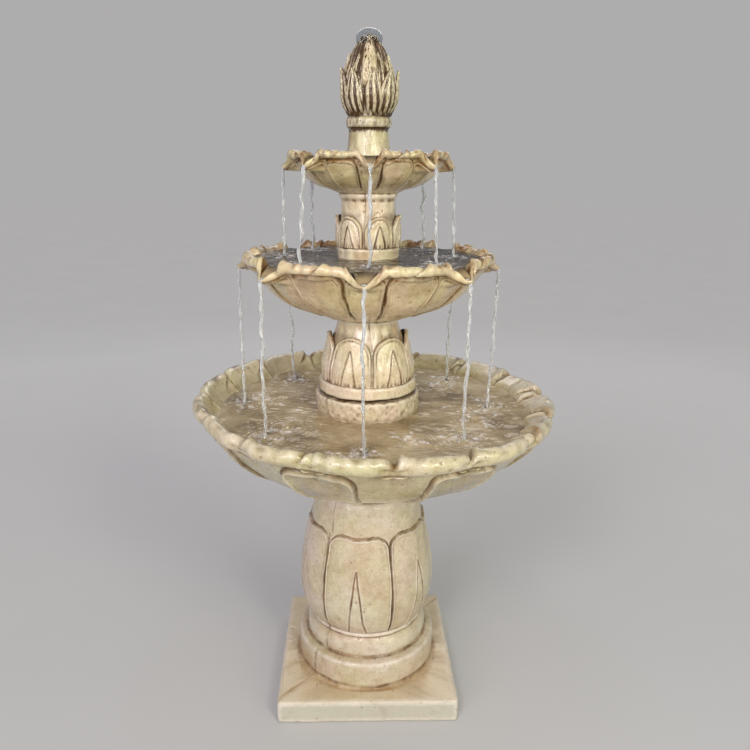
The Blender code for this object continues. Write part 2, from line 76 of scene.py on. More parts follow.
# heights of the three pools
BASIN_WATER = 0.793
MIDDLE_WATER = 1.1800
UPPER_WATER = 1.4125


# ---------------------------------------------------------------- outlines and relief


def smooth_step(value, low, high):
    """0 below low, 1 above high, eased between."""
    t = np.clip((value - low) / (high - low), 0.0, 1.0)
    return t * t * (3 - 2 * t)


def around(radius, azimuth, height):
    """Points from their distance from the axis, azimuth and height."""
    return np.stack([radius * np.sin(azimuth), -radius * np.cos(azimuth), height], axis=-1)


def bell(distance, width):
    """1 at no distance, falling off smoothly on both sides."""
    return np.exp(-((distance / width) ** 2))


def millimetres(points):
    """An outline in metres, from radii and heights in millimetres; a third value stays as it is."""
    return [(radius * MM, height * MM, *rest) for radius, height, *rest in points]


def softened(points, passes=3):
    """Chaikin corner cutting on an open polyline, which keeps its two ends."""
    line = np.array(points, float)
    for _ in range(passes):
        first = 0.75 * line[:-1] + 0.25 * line[1:]
        second = 0.25 * line[:-1] + 0.75 * line[1:]
        middle = np.stack([first, second], axis=1).reshape(-1, line.shape[1])
        line = np.vstack([line[:1], middle[1:-1], line[-1:]])
    return line


def spaced(line, rows, focus=None):
    """Resamples an outline to a number of rows, closer together where focus is high."""
    step = np.hypot(*np.diff(line[:, :2], axis=0).T)
    weight = np.ones(len(step))
    if focus is not None:
        middle = (line[1:] + line[:-1]) / 2
        weight = 1 + focus(middle[:, 0], middle[:, 1])
    travelled = np.concatenate([[0], np.cumsum(step * weight)])
    wanted = np.linspace(0, travelled[-1], rows)
    return np.stack([np.interp(wanted, travelled, line[:, i]) for i in range(line.shape[1])], 1)


def gathered(count, marks, first, pull):
    """Azimuths round a full turn, closer together at a number of evenly spaced marks."""
    even = np.arange(count) * TAU / count
    return first + even - pull * np.sin(marks * even) / marks


def harmonics(theta, along, seed, turns, rate):
    """Smooth random heights, about -1 to 1, that close on themselves round the axis."""
    rng = np.random.default_rng(seed)
    total = 0.0
    waves = 28
    for _ in range(waves):
        lobes = rng.integers(*turns)
        slope = rng.uniform(-rate, rate)
        total = total + np.sin(lobes * theta + slope * along + rng.uniform(0, TAU))
    return total / math.sqrt(waves)


class Relief:
    """Carving over a turned surface: how far each point stands out, and how dark it is painted: brown stain,
    and in some places painted shade.
    """

    def __init__(self, theta, line):
        self.theta = theta[:, None]
        self.radius = line[None, :, 0]
        self.height = line[None, :, 1]
        self.square = line[None, :, 2] if line.shape[1] > 2 else None
        step = np.hypot(*np.diff(line[:, :2], axis=0).T)
        self.run = np.concatenate([[0], np.cumsum(step)])[None, :]
        ahead = np.gradient(line[:, :2], axis=0)
        length = np.hypot(ahead[:, 0], ahead[:, 1]) + 1e-12
        self.normal_r = (ahead[:, 1] / length)[None, :]
        self.normal_z = (-ahead[:, 0] / length)[None, :]
        shape = (len(theta), line.shape[0])
        self.lift = np.zeros(shape)
        self.dirt_and_shade = np.zeros(shape)
        # pale is painted light: how much paler each point is painted, for painted highlights and lit patches
        self.pale = np.zeros(shape)
        self.out = np.zeros(shape)
        self.drop = np.zeros(shape)
        self.top_row = int(np.argmax(line[:, 1]))
        self.outside = (np.arange(line.shape[0]) <= self.top_row)[None, :]

    def at(self, height):
        """How far along the outline its outside first reaches a height."""
        run, z = self.run[0], self.height[0]
        return float(np.interp(height, z[: self.top_row + 1], run[: self.top_row + 1]))

    def near(self, height, width):
        """1 along the outside at a height, falling off up and down the surface."""
        return bell(self.run - self.at(height), width) * self.outside

    def noise(self, seed, turns, rate):
        """Random heights; turns says how many waves go round, rate how fast they change upward."""
        return harmonics(self.theta, self.run, seed, turns, rate)

    def wave(self, seed, turns):
        """Noise that changes only round the axis."""
        return harmonics(self.theta, 0 * self.run, seed, turns, 0.0)

    def patches(self, seed, turns, rate, base, gain):
        """Blotches between 0 and 1."""
        return np.clip(base + gain * self.noise(seed, turns, rate), 0, 1)

    def darken(self, amount):
        """Makes the surface at least this dark: brown stain, and in some places painted shade."""
        self.dirt_and_shade = np.maximum(self.dirt_and_shade, amount)

    def groove(self, distance, width, depth, dirt_and_shade, mask, spread=1.7):
        """Cuts a groove where the distance is nothing, and dirties it."""
        self.lift -= mask * depth * bell(distance, width)
        self.darken(mask * dirt_and_shade * bell(distance, width * spread))

    def ridge(self, distance, width, height, mask):
        """Raises a ridge where the distance is nothing."""
        self.lift += mask * height * bell(distance, width)

    def folded(self, count, first):
        """Angle from the nearest of a number of even centres, and which one it is."""
        period = TAU / count
        turn = (self.theta - first) / period + 0.5
        index = np.floor(turn).astype(int) % count
        return (turn - np.floor(turn) - 0.5) * period, index

    def panels(
        self, count, first, *, share, low, high, corner, thick, lip, groove, seed, wobble,
        lip_back, lip_width, groove_width, swell=0.0, tilt=0.0, dip=0.0, foot=0.006, crisp=0.0022, dirt_and_shade=1.0,
    ):
        """Leaves or petals: raised panels with rounded tops, a lip round the edge and a groove
        outside it. tilt thickens them towards their tops, and dip hollows the top edge."""
        rng = np.random.default_rng(seed)
        angle, index = self.folded(count, first)
        jitter = rng.normal(0, 1, count)[index]
        noise = harmonics(self.theta, self.run, seed + 5, (4, 60), 120.0)
        across = angle * self.radius
        half = share * math.pi / count * self.radius
        reach = np.abs(across) / half
        low_run, high_run = self.at(low), self.at(high)
        top = high_run + 0.0012 * jitter - dip * np.clip(1 - (reach * 2.2) ** 2, 0, 1)
        over_x = np.abs(across) - half + corner
        over_y = self.run - top + corner
        edge = np.hypot(np.maximum(over_x, 0), np.maximum(over_y, 0))
        edge = edge + np.minimum(np.maximum(over_x, over_y), 0) - corner + wobble * noise
        mask = smooth_step(self.run, low_run - foot * 0.2, low_run + foot) * self.outside
        rise = smooth_step(self.run, low_run, high_run)
        inside = smooth_step(-edge, -0.0003, crisp)
        body = thick + tilt * rise ** 2 + swell * np.clip(1 - reach ** 2, 0, 1)
        self.lift += mask * inside * body
        self.ridge(edge + lip_back, lip_width, lip, mask)
        self.groove(edge - 0.0004, groove_width, groove, dirt_and_shade, mask)
        return edge, mask, rise

    def slits(self, count, first, apex, low, spread, width, depth, seed):
        """An upside-down V cut in each leaf, from its apex down to the leaf's foot."""
        rng = np.random.default_rng(seed)
        angle, index = self.folded(count, first)
        jitter = rng.normal(0, 0.12, count)[index]
        across = angle * self.radius + 0.0010 * harmonics(self.theta, self.run, seed, (4, 50), 90.0)
        apex_run, low_run = self.at(apex), self.at(low)
        fall = np.clip((apex_run - self.run) / (apex_run - low_run), 0, 1.2)
        below = smooth_step(self.run, low_run - 0.004, low_run + 0.004)
        above = 1 - smooth_step(self.run, apex_run - 0.003, apex_run + 0.002)
        mask = below * above * self.outside
        for side in (-1, 1):
            leg = side * spread * fall ** 0.85 * (1 + jitter)
            self.groove(across - leg, width, depth, 0.95, mask)
            self.ridge(across - leg - side * width * 2.4, width * 1.5, depth * 0.35, mask)
        over = bell(self.run - apex_run, 0.02) * (self.run > apex_run)
        self.ridge(across, width * 3.0, depth * 0.4, over * self.outside)

    def seam(self, azimuth, low, high, seed, width=0.0011, depth=0.0009):
        """A mould seam: a fine uneven line that runs up one side."""
        wander = 0.004 * harmonics(0 * self.theta, self.run, seed, (1, 2), 30.0)
        near = (self.theta - azimuth + math.pi) % TAU - math.pi
        distance = near * self.radius + wander
        mask = smooth_step(self.height, low, low + 0.004) * (1 - smooth_step(self.height, high - 0.004, high))
        patchy = 0.65 + 0.35 * harmonics(self.theta, self.run, seed + 1, (1, 5), 160.0)
        self.groove(distance, 1.3 * width, depth, 1.0, mask * self.outside * np.clip(patchy, 0.2, 1))
        self.ridge(distance - 0.0026, 0.0014, depth * 0.35, mask * self.outside)

    def corner_seam(self, azimuth, seed):
        """The mould seam's last stretch, across the plinth's top to its corner."""
        near = (self.theta - azimuth + math.pi) % TAU - math.pi
        distance = near * self.radius + 0.004 * harmonics(0 * self.theta, self.run, seed, (1, 2), 40.0)
        mask = (self.radius > 0.19) * (self.height > 0.055) * (self.height < 0.064) * self.outside
        self.groove(distance, 0.0013, 0.0007, 0.6, mask, 1.2)

    def pits(self, count, seed, size, depth, low=-9.0, high=9.0):
        """Small scattered dents and chips."""
        rng = np.random.default_rng(seed)
        rows = np.flatnonzero((self.height[0] > low) & (self.height[0] < high))
        for _ in range(count):
            column = rng.integers(self.theta.shape[0])
            row = rng.choice(rows)
            wide = size * rng.uniform(0.4, 1.4)
            columns = (column + np.arange(-14, 15)) % self.theta.shape[0]
            reach = np.arange(max(0, row - 14), min(self.radius.shape[1], row + 15))
            turn = (self.theta[columns] - self.theta[column] + math.pi) % TAU - math.pi
            gap_x = turn * self.radius[:, reach]
            gap_y = self.run[:, reach] - self.run[0, row]
            dent = np.exp(-(gap_x ** 2 + gap_y ** 2) / wide ** 2)
            block = np.ix_(columns, reach)
            self.lift[block] -= depth * rng.uniform(0.4, 1.0) * dent
            self.dirt_and_shade[block] = np.maximum(self.dirt_and_shade[block], 0.75 * dent)

    def points(self):
        """The carved surface's points, by azimuth and then along the outline."""
        radius = self.radius
        if self.square is not None:
            turned = rounded_square(self.theta - PLINTH_TURN, self.radius)
            radius = radius * (1 - self.square) + self.square * turned
        r = radius + self.out + self.lift * self.normal_r
        z = self.height - self.drop + self.lift * self.normal_z
        return around(r, self.theta, z)


def rounded_square(theta, half):
    """Distance from the axis to a square with rounded corners."""
    a, b = np.abs(np.sin(theta)), np.abs(np.cos(theta))
    flat = half / np.maximum(a, b)
    inner = half - PLINTH_CORNER
    arc = inner * (a + b) + np.sqrt(np.maximum(PLINTH_CORNER ** 2 - inner ** 2 * (a - b) ** 2, 0))
    return np.where(flat * np.minimum(a, b) > inner, arc, flat)


# ---------------------------------------------------------------- meshes


def grid_object(name, points, closed, attributes=None):
    """A mesh from points laid out in columns round the axis and rows along the outline.

    closed joins the last row to the first; otherwise each end is closed with a fan of triangles.
    """
    columns, rows = points.shape[:2]
    vertices = points.reshape(-1, 3)
    index = np.arange(columns * rows).reshape(columns, rows)
    after = np.roll(index, -1, axis=0)
    if closed:
        up, after_up = np.roll(index, -1, axis=1), np.roll(after, -1, axis=1)
        quads = np.stack([index, after, after_up, up], -1).reshape(-1, 4)
    else:
        quads = np.stack([index[:, :-1], after[:, :-1], after[:, 1:], index[:, 1:]], -1).reshape(-1, 4)
    corners = [quads.reshape(-1)]
    starts = [np.arange(len(quads)) * 4]
    if not closed:
        ends = np.stack([points[:, 0].mean(0), points[:, -1].mean(0)])
        low, high = len(vertices), len(vertices) + 1
        vertices = np.vstack([vertices, ends])
        bottom = np.stack([np.full(columns, low), after[:, 0], index[:, 0]], -1)
        top = np.stack([index[:, -1], after[:, -1], np.full(columns, high)], -1)
        fans = np.vstack([bottom, top])
        corners.append(fans.reshape(-1))
        starts.append(len(quads) * 4 + np.arange(len(fans)) * 3)
    corners, starts = np.concatenate(corners), np.concatenate(starts)
    mesh = bpy.data.meshes.new(name)
    mesh.vertices.add(len(vertices))
    mesh.vertices.foreach_set("co", vertices.astype(np.float32).reshape(-1))
    mesh.loops.add(len(corners))
    mesh.loops.foreach_set("vertex_index", corners.astype(np.int32))
    mesh.polygons.add(len(starts))
    mesh.polygons.foreach_set("loop_start", starts.astype(np.int32))
    mesh.update(calc_edges=True)
    for key, values in (attributes or {}).items():
        layer = mesh.attributes.new(key, "FLOAT", "POINT")
        flat = np.zeros(len(vertices), np.float32)
        flat[: columns * rows] = values.reshape(-1)
        layer.data.foreach_set("value", flat)
    mesh.shade_smooth()
    made = bpy.data.objects.new(name, mesh)
    bpy.context.collection.objects.link(made)
    return made


def weathering(points, reach=2):
    """How hollow and how proud each point of a grid is, against its neighbours on both sides."""
    bend = 0.0
    east = np.roll(points, -1, 0) - np.roll(points, 1, 0)
    up = np.gradient(points, axis=1)
    normal = np.cross(east, up)
    normal /= np.linalg.norm(normal, axis=2, keepdims=True) + 1e-15
    for axis in (0, 1):
        before, after = np.roll(points, reach, axis), np.roll(points, -reach, axis)
        gap = np.linalg.norm(after - before, axis=2) / 2 + 1e-9
        bend = bend + np.sum((before + after - 2 * points) * normal, axis=2) / gap
    bend[:, :reach] = 0
    bend[:, -reach:] = 0
    for axis in (0, 0, 1):
        bend = (np.roll(bend, 1, axis) + 2 * bend + np.roll(bend, -1, axis)) / 4
    return smooth_step(bend, 0.05, 0.55), smooth_step(-bend, 0.07, 0.6)


def joined(name, parts):
    """One object from several meshes."""
    bm = bmesh.new()
    for part in parts:
        bm.from_mesh(part.data)
        mesh = part.data
        bpy.data.objects.remove(part)
        bpy.data.meshes.remove(mesh)
    mesh = bpy.data.meshes.new(name)
    bm.to_mesh(mesh)
    bm.free()
    mesh.shade_smooth()
    made = bpy.data.objects.new(name, mesh)
    bpy.context.collection.objects.link(made)
    return made


def finished(piece, finish, body, slot, *nodes):
    """Gives a piece its material and body, and hides the CAD nodes it stands for; slot is not used."""
    piece.data.materials.append(finish)
    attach(piece, body)
    if nodes:
        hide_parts(*nodes)


def casting(
    name, node, body, outline, carve, finish, *, columns, rows, marks, focus=None, closed=True, settle=None
):
    """A carved casting that stands for a CAD node.

    marks says where its columns gather: how many places, the first one's azimuth, and how strongly.
    """
    line = spaced(softened(outline), rows, focus)
    relief = Relief(gathered(columns, *marks), line)
    carve(relief)
    relief.lift += 0.0005 * relief.noise(77 + rows, (2, 22), 45.0)
    relief.lift += 0.00010 * relief.noise(99 + rows, (20, 70), 260.0)
    points = relief.points()
    if settle is not None:
        points = settle(points)
    hollow, proud = weathering(points)
    dirt_and_shade = np.clip(np.maximum(relief.dirt_and_shade, 0.9 * hollow), 0, 1)
    made = grid_object(name, points, closed, {"dirt_and_shade": dirt_and_shade, "wear_and_painted_light": np.maximum(proud, relief.pale)})
    finished(made, finish, body, "cast_stone", node)


# ---------------------------------------------------------------- materials


class Nodes:
    """Short ways to add and link shader nodes."""

    def __init__(self, name):
        self.material = bpy.data.materials.new(name)
        self.material.use_nodes = True
        self.tree = self.material.node_tree
        self.shader = self.tree.nodes["Principled BSDF"]
        self.place = self.add("ShaderNodeTexCoord").outputs["Object"]

    def add(self, kind, **values):
        """Adds a node and sets its properties, or its inputs where it has no such property."""
        node = self.tree.nodes.new(kind)
        for key, value in values.items():
            if hasattr(node, key):
                setattr(node, key, value)
            else:
                node.inputs[key.replace("_", " ").title()].default_value = value
        return node

    def link(self, source, target):
        """Joins an output to an input."""
        self.tree.links.new(source, target)

    def stretched(self, share):
        """Coordinates squeezed along Z, so that a noise there is drawn out along it."""
        node = self.add("ShaderNodeMapping")
        node.inputs["Scale"].default_value = (1.0, 1.0, share)
        self.link(self.place, node.inputs["Vector"])
        return node.outputs["Vector"]

    def noise(self, scale, detail, rough, distortion=0.0, place=None):
        """A noise over the object's own coordinates, or over another place."""
        node = self.add("ShaderNodeTexNoise", scale=scale, detail=detail, roughness=rough)
        node.inputs["Distortion"].default_value = distortion
        self.link(self.place if place is None else place, node.inputs["Vector"])
        return node.outputs["Fac"]

    def ramp(self, source, *stops):
        """Colours by position; a colour with one value is a grey."""
        node = self.add("ShaderNodeValToRGB")
        elements = node.color_ramp.elements
        while len(elements) < len(stops):
            elements.new(0.5)
        for element, (position, colour) in zip(elements, stops):
            element.position = position
            element.color = (*colour, 1.0) if len(colour) == 3 else (colour[0],) * 3 + (1.0,)
        self.link(source, node.inputs["Fac"])
        return node.outputs["Color"]

    def mix(self, factor, first, second, blend="MIX"):
        """Mixes two colours; each of the three may be a socket or a value."""
        node = self.add("ShaderNodeMix", data_type="RGBA", blend_type=blend)
        for socket, value in ((node.inputs[0], factor), (node.inputs[6], first), (node.inputs[7], second)):
            if isinstance(value, bpy.types.NodeSocket):
                self.link(value, socket)
            elif isinstance(value, tuple):
                socket.default_value = (*value, 1.0)
            else:
                socket.default_value = value
        return node.outputs[2]

    def math(self, operation, first, second, third=0.0):
        """Arithmetic on sockets or values."""
        node = self.add("ShaderNodeMath", operation=operation)
        for socket, value in zip(node.inputs, (first, second, third)):
            if isinstance(value, bpy.types.NodeSocket):
                self.link(value, socket)
            else:
                socket.default_value = value
        return node.outputs[0]

    def attribute(self, name):
        """A value stored at each vertex."""
        return self.add("ShaderNodeAttribute", attribute_name=name).outputs["Fac"]

    def bump(self, height, distance, strength, normal=None):
        """A bump from a height, over an earlier bump if there is one."""
        node = self.add("ShaderNodeBump", distance=distance, strength=strength)
        self.link(height, node.inputs["Height"])
        if normal is not None:
            self.link(normal, node.inputs["Normal"])
        return node.outputs["Normal"]

    def done(self, colour=None, roughness=None, normal=None, **fixed):
        """Finishes the material with sockets or values, and the shader's other inputs by name."""
        for socket, value in (("Base Color", colour), ("Roughness", roughness), ("Normal", normal)):
            if isinstance(value, bpy.types.NodeSocket):
                self.link(value, self.shader.inputs[socket])
            elif value is not None:
                self.shader.inputs[socket].default_value = value
        for key, value in fixed.items():
            self.shader.inputs[key.replace("_", " ").title().replace("Ior", "IOR")].default_value = value
        return self.material


def antique_stone(
    name, light, mid, shade, *, soak, gloss, stain=(0.190, 0.098, 0.034), rough=(0.26, 0.5), slab=None,
    wear_and_painted_light_tone=(0.80, 0.715, 0.565),
):
    """Cream cast stone rubbed with brown: unstained and paler on what stands proud, stained in the grooves;
    its mesh attributes also carry painted light and painted shade.
    """
    n = Nodes(name)
    # the cream itself: large clouds, slow drifts of hue, tan areas, a mottle and a sandy grain
    clouds = n.noise(6.5, 5.0, 0.62, 0.5)
    base = n.ramp(clouds, (0.30, shade), (0.47, mid), (0.66, light))
    drift = n.ramp(n.noise(9.0, 4.0, 0.6), (0.38, (0.96, 1.02, 0.90)), (0.62, (1.03, 0.97, 1.06)))
    base = n.mix(0.8, base, drift, "MULTIPLY")
    tan = n.ramp(n.noise(17.0, 6.0, 0.7, 0.8), (0.50, (0.0,)), (0.72, (0.62,)))
    base = n.mix(tan, base, shade)
    mottle = n.noise(46.0, 6.0, 0.68)
    base = n.mix(0.6, base, n.ramp(mottle, (0.30, (0.70, 0.63, 0.53)), (0.56, (1.0, 1.0, 1.0))), "MULTIPLY")
    grain = n.noise(330.0, 3.0, 0.6)
    base = n.mix(0.5, base, n.ramp(grain, (0.34, (0.66, 0.57, 0.45)), (0.56, (1.0, 1.0, 1.0))), "MULTIPLY")
    if slab:
        # the plinth's upright faces stay paler than the rest
        height = n.add("ShaderNodeSeparateXYZ")
        n.link(n.place, height.inputs["Vector"])
        upright = n.ramp(height.outputs["Z"], (0.0590, (1.0,)), (0.0612, (0.0,)))
        base = n.mix(upright, base, n.mix(0.5, base, slab))
        base = n.mix(n.math("MULTIPLY", upright, 0.6), base, slab)
        # painted light: the plinth's top face, in the basin's shadow, is lightened towards a paler tan
        level = n.ramp(
            height.outputs["Z"], (0.0612, (0.0,)), (0.0624, (1.0,)), (0.0642, (1.0,)), (0.0670, (0.0,))
        )
        base = n.mix(n.math("MULTIPLY", level, 0.8), base, (0.76, 0.635, 0.425))
    # rubbed edges are paler, and so are the painted highlights and painted light that the mesh adds to this
    # attribute
    wear_and_painted_light = n.math("MULTIPLY", n.attribute("wear_and_painted_light"), n.ramp(mottle, (0.30, (0.35,)), (0.6, (1.0,))))
    base = n.mix(n.math("MULTIPLY", wear_and_painted_light, 0.7), base, wear_and_painted_light_tone)
    # brown where the mesh's dirt_and_shade attribute says: brown stain, and in some places painted shade; a
    # thin film elsewhere
    dirt_and_shade = n.attribute("dirt_and_shade")
    patch = n.noise(30.0, 5.0, 0.7)
    held = n.math("MULTIPLY_ADD", patch, 2.6, -0.45)
    darken = n.math("MULTIPLY", dirt_and_shade, held)
    film = n.ramp(n.noise(12.0, 7.0, 0.72, 0.7), (0.54, (0.0,)), (0.76, (0.30,)))
    darken = n.math("MULTIPLY", n.math("MAXIMUM", darken, film), soak)
    darken.node.use_clamp = True
    tint = n.ramp(n.noise(14.0, 3.0, 0.5), (0.42, stain), (0.62, tuple(0.62 * c for c in stain)))
    # painted light: on that top face the stain is a lighter brown as well
    if slab:
        tint = n.mix(level, tint, (0.43, 0.27, 0.12))
    wash = n.mix(darken, base, tint)
    # groups of dark specks, which are small holes
    specks = n.ramp(n.noise(150.0, 2.0, 0.5), (0.68, (0.0,)), (0.73, (0.85,)))
    patchy = n.ramp(n.noise(10.0, 3.0, 0.5), (0.44, (0.0,)), (0.60, (1.0,)))
    colour = n.mix(n.math("MULTIPLY", specks, patchy), wash, (0.15, 0.08, 0.03))
    roughness = n.ramp(mottle, (0.3, (rough[0],)), (0.7, (rough[1],)))
    broad = n.bump(mottle, 0.0022, 0.6)
    fine = n.bump(grain, 0.0006, 0.65, broad)
    holes = n.bump(n.math("SUBTRACT", 1.0, specks), 0.0008, 0.8, fine)
    coat = dict(coat_weight=gloss, coat_roughness=0.10, coat_ior=1.45)
    return n.done(colour, roughness, holes, specular_ior_level=0.5, **coat)


def moulded(name, light, dark, rough, grain_scale=900.0, depth=0.00012, **fixed):
    """Moulded plastic or rubber with a fine texture, scuffs and slight shade changes."""
    n = Nodes(name)
    cloud = n.noise(60.0, 4.0, 0.6)
    colour = n.ramp(cloud, (0.35, dark), (0.7, light))
    grain = n.noise(grain_scale, 2.0, 0.5)
    scuff = n.noise(180.0, 6.0, 0.75, 1.2)
    roughness = n.ramp(scuff, (0.35, (rough - 0.08,)), (0.7, (min(1.0, rough + 0.12),)))
    normal = n.bump(grain, depth, 0.7, n.bump(scuff, 0.0003, 0.2))
    return n.done(colour, roughness, normal, **fixed)


def worked_metal(name, light, dark, rough):
    """Metal dulled by water, with fine drawn lines along its axis."""
    n = Nodes(name)
    lines = n.noise(900.0, 3.0, 0.6, place=n.stretched(0.06))
    cloud = n.noise(90.0, 5.0, 0.65)
    colour = n.ramp(cloud, (0.35, dark), (0.68, light))
    roughness = n.ramp(cloud, (0.3, (rough + 0.18,)), (0.7, (rough,)))
    return n.done(colour, roughness, n.bump(lines, 0.00008, 0.6), metallic=1.0)


def pool_water(name, deep, shallow, glint, shine):
    """Moving water over a stained bowl: murky, glossy, with pale foam where streams land, and painted glints
    and reflections in its colour.
    """
    n = Nodes(name)
    depths = n.noise(8.0, 5.0, 0.55)
    # painted glints: the ramp's palest stop, glint, is reflected light put into the colour
    colour = n.ramp(depths, (0.36, deep), (0.50, shallow), (0.66, glint))
    fine = n.noise(70.0, 3.0, 0.55)
    darker = n.ramp(fine, (0.34, (0.60, 0.55, 0.48)), (0.60, (1.0, 1.0, 1.0)))
    colour = n.mix(0.45, colour, darker, "MULTIPLY")
    # painted reflections: pale flecks of reflected light
    flecks = n.ramp(n.noise(75.0, 3.0, 0.6, 0.4), (0.63, (0.0,)), (0.72, (0.6,)))
    colour = n.mix(flecks, colour, (0.62, 0.55, 0.45))
    colour = n.mix(n.math("MULTIPLY", n.attribute("shallow"), 0.8), colour, (0.46, 0.345, 0.19))
    foam = n.math("MULTIPLY", n.attribute("foam"), n.math("MULTIPLY_ADD", fine, 5.0, -1.7))
    foam.node.use_clamp = True
    colour = n.mix(foam, colour, (0.84, 0.81, 0.82))
    roughness = n.ramp(fine, (0.4, (0.04,)), (0.7, (0.12,)))
    ripples = n.noise(30.0, 2.0, 0.5)
    normal = n.bump(fine, 0.0017, 0.6, n.bump(ripples, 0.0034, 0.6))
    return n.done(colour, roughness, normal, ior=1.33, specular_ior_level=shine)


def falling_water(name, clear, white=(0.90, 0.92, 0.94)):
    """Clear water broken up by air: see-through, with whiter threads."""
    n = Nodes(name)
    threads = n.noise(330.0, 4.0, 0.6, 0.6, n.stretched(0.22))
    beads = n.noise(210.0, 3.0, 0.55)
    colour = n.ramp(threads, (0.4, (0.80, 0.83, 0.85)), (0.6, white))
    roughness = n.ramp(threads, (0.4, (0.02,)), (0.7, (0.10,)))
    normal = n.bump(beads, 0.0012, 0.6, n.bump(threads, 0.0006, 0.5))
    return n.done(colour, roughness, normal, ior=1.33, transmission_weight=clear)


# ---------------------------------------------------------------- castings


def leaning(points):
    """The basin sits a little off the pedestal's axis and not quite level."""
    moved = points.copy()
    share = smooth_step(points[..., 2], 0.574, 0.640)
    moved[..., 0] += BASIN_OFFSET * share
    moved[..., 2] -= BASIN_TILT * points[..., 0] * smooth_step(points[..., 2], 0.640, 0.760)
    return moved


def plate(name, outer, inner, azimuth, height, dirt_and_shade):
    """A closed leaf from its outer and inner faces; its back is dirty all over."""
    front, back = around(outer, azimuth, height), around(inner, azimuth, height)
    loop = np.concatenate([front, back[::-1]], axis=0)
    hollow, proud = weathering(loop, 1)
    dirt_and_shade = np.maximum(np.concatenate([dirt_and_shade, np.ones_like(dirt_and_shade)], axis=0), hollow)
    return grid_object(name, loop, False, {"dirt_and_shade": np.clip(dirt_and_shade, 0, 1), "wear_and_painted_light": proud})


def leaf_plate(name, azimuth, low, high, body_radius, seed, *, half, arch, flare, apex, spread):
    """One leaf of a column: a thin plate that hugs the column and turns outward at its tip."""
    rng = np.random.default_rng(seed)
    even = np.linspace(-1, 1, 65)
    rows = 96
    # u runs from edge to edge, closer together at the edges, and t from foot to tip
    across = np.sin(even * math.pi / 2) * 0.45 + even * 0.55
    along = np.linspace(0, 1, rows)
    u, t = np.meshgrid(across, along, indexing="ij")
    begins, power = arch

    def taper(t):
        """The leaf's width at t, against its foot's."""
        closing = np.clip((t - begins) / (1 - begins), 0, 1)
        return np.clip(1 - closing ** power, 0.0004, 1) ** (1 / 2.0)

    tall = (high - low) * (1 + rng.normal(0, 0.012))
    z = low + tall * t
    radius = np.interp(z, *body_radius)
    turn = half * u * taper(t)
    x, y = turn * radius, tall * t
    # distance of each point from the leaf's outline
    hem_t = np.concatenate([along, along[::-1]])
    hem_u = np.concatenate([-np.ones(rows), np.ones(rows)])
    hem_r = np.interp(low + tall * hem_t, *body_radius)
    hem_x, hem_y = half * hem_u * taper(hem_t) * hem_r, tall * hem_t
    edge = np.min(np.hypot(x[..., None] - hem_x, y[..., None] - hem_y), axis=-1)
    # it bulges, turns out at its tip, and has a rounded lip with a groove inside it
    noise = harmonics(5 * turn + seed, y, seed, (3, 12), 220.0)
    out = 0.0040 + 0.0032 * (1 - u ** 2) + flare * smooth_step(t, 0.35, 1.12) ** 1.5
    out = out - 0.0042 * np.clip(1 - edge / 0.0042, 0, 1) ** 2 + 0.0022 * bell(edge - 0.0046, 0.0021)
    out = out - 0.0018 * bell(edge - 0.0090, 0.0026) * smooth_step(t, 0.2, 0.5) + 0.0004 * noise
    dirt_and_shade = 0.95 * bell(edge, 0.0022) + 0.35 * bell(edge - 0.0092, 0.0030)
    # two slits that part downward from the apex
    fall = np.clip((apex - z) / (apex - low), 0, 1.1)
    cut = (z < apex + 0.001) * 1.0
    lean = rng.normal(0, 0.0012)
    for side in (-1, 1):
        leg = side * spread * (1 + rng.normal(0, 0.10)) * fall ** 0.8 + lean * fall
        gap = x - leg
        out = out - 0.0034 * cut * bell(gap, 0.0015) + 0.0020 * cut * bell(gap - side * 0.0040, 0.0020)
        dirt_and_shade = np.maximum(dirt_and_shade, 0.95 * cut * bell(gap, 0.0022))
    patches = np.clip(0.55 + 0.8 * harmonics(6 * turn + seed, y, seed + 1, (3, 14), 120.0), 0, 1)
    foot = bell(y, 0.009) * patches
    dirt_and_shade = np.maximum(dirt_and_shade, 0.95 * foot)
    dirt_and_shade = np.maximum(dirt_and_shade, 0.30 * patches * smooth_step(-edge, -0.012, -0.003))
    outer = radius + out
    inner = outer - 0.0016 - 0.0030 * smooth_step(edge, 0, 0.007)
    return plate(name, outer, inner, azimuth + turn, z, dirt_and_shade)


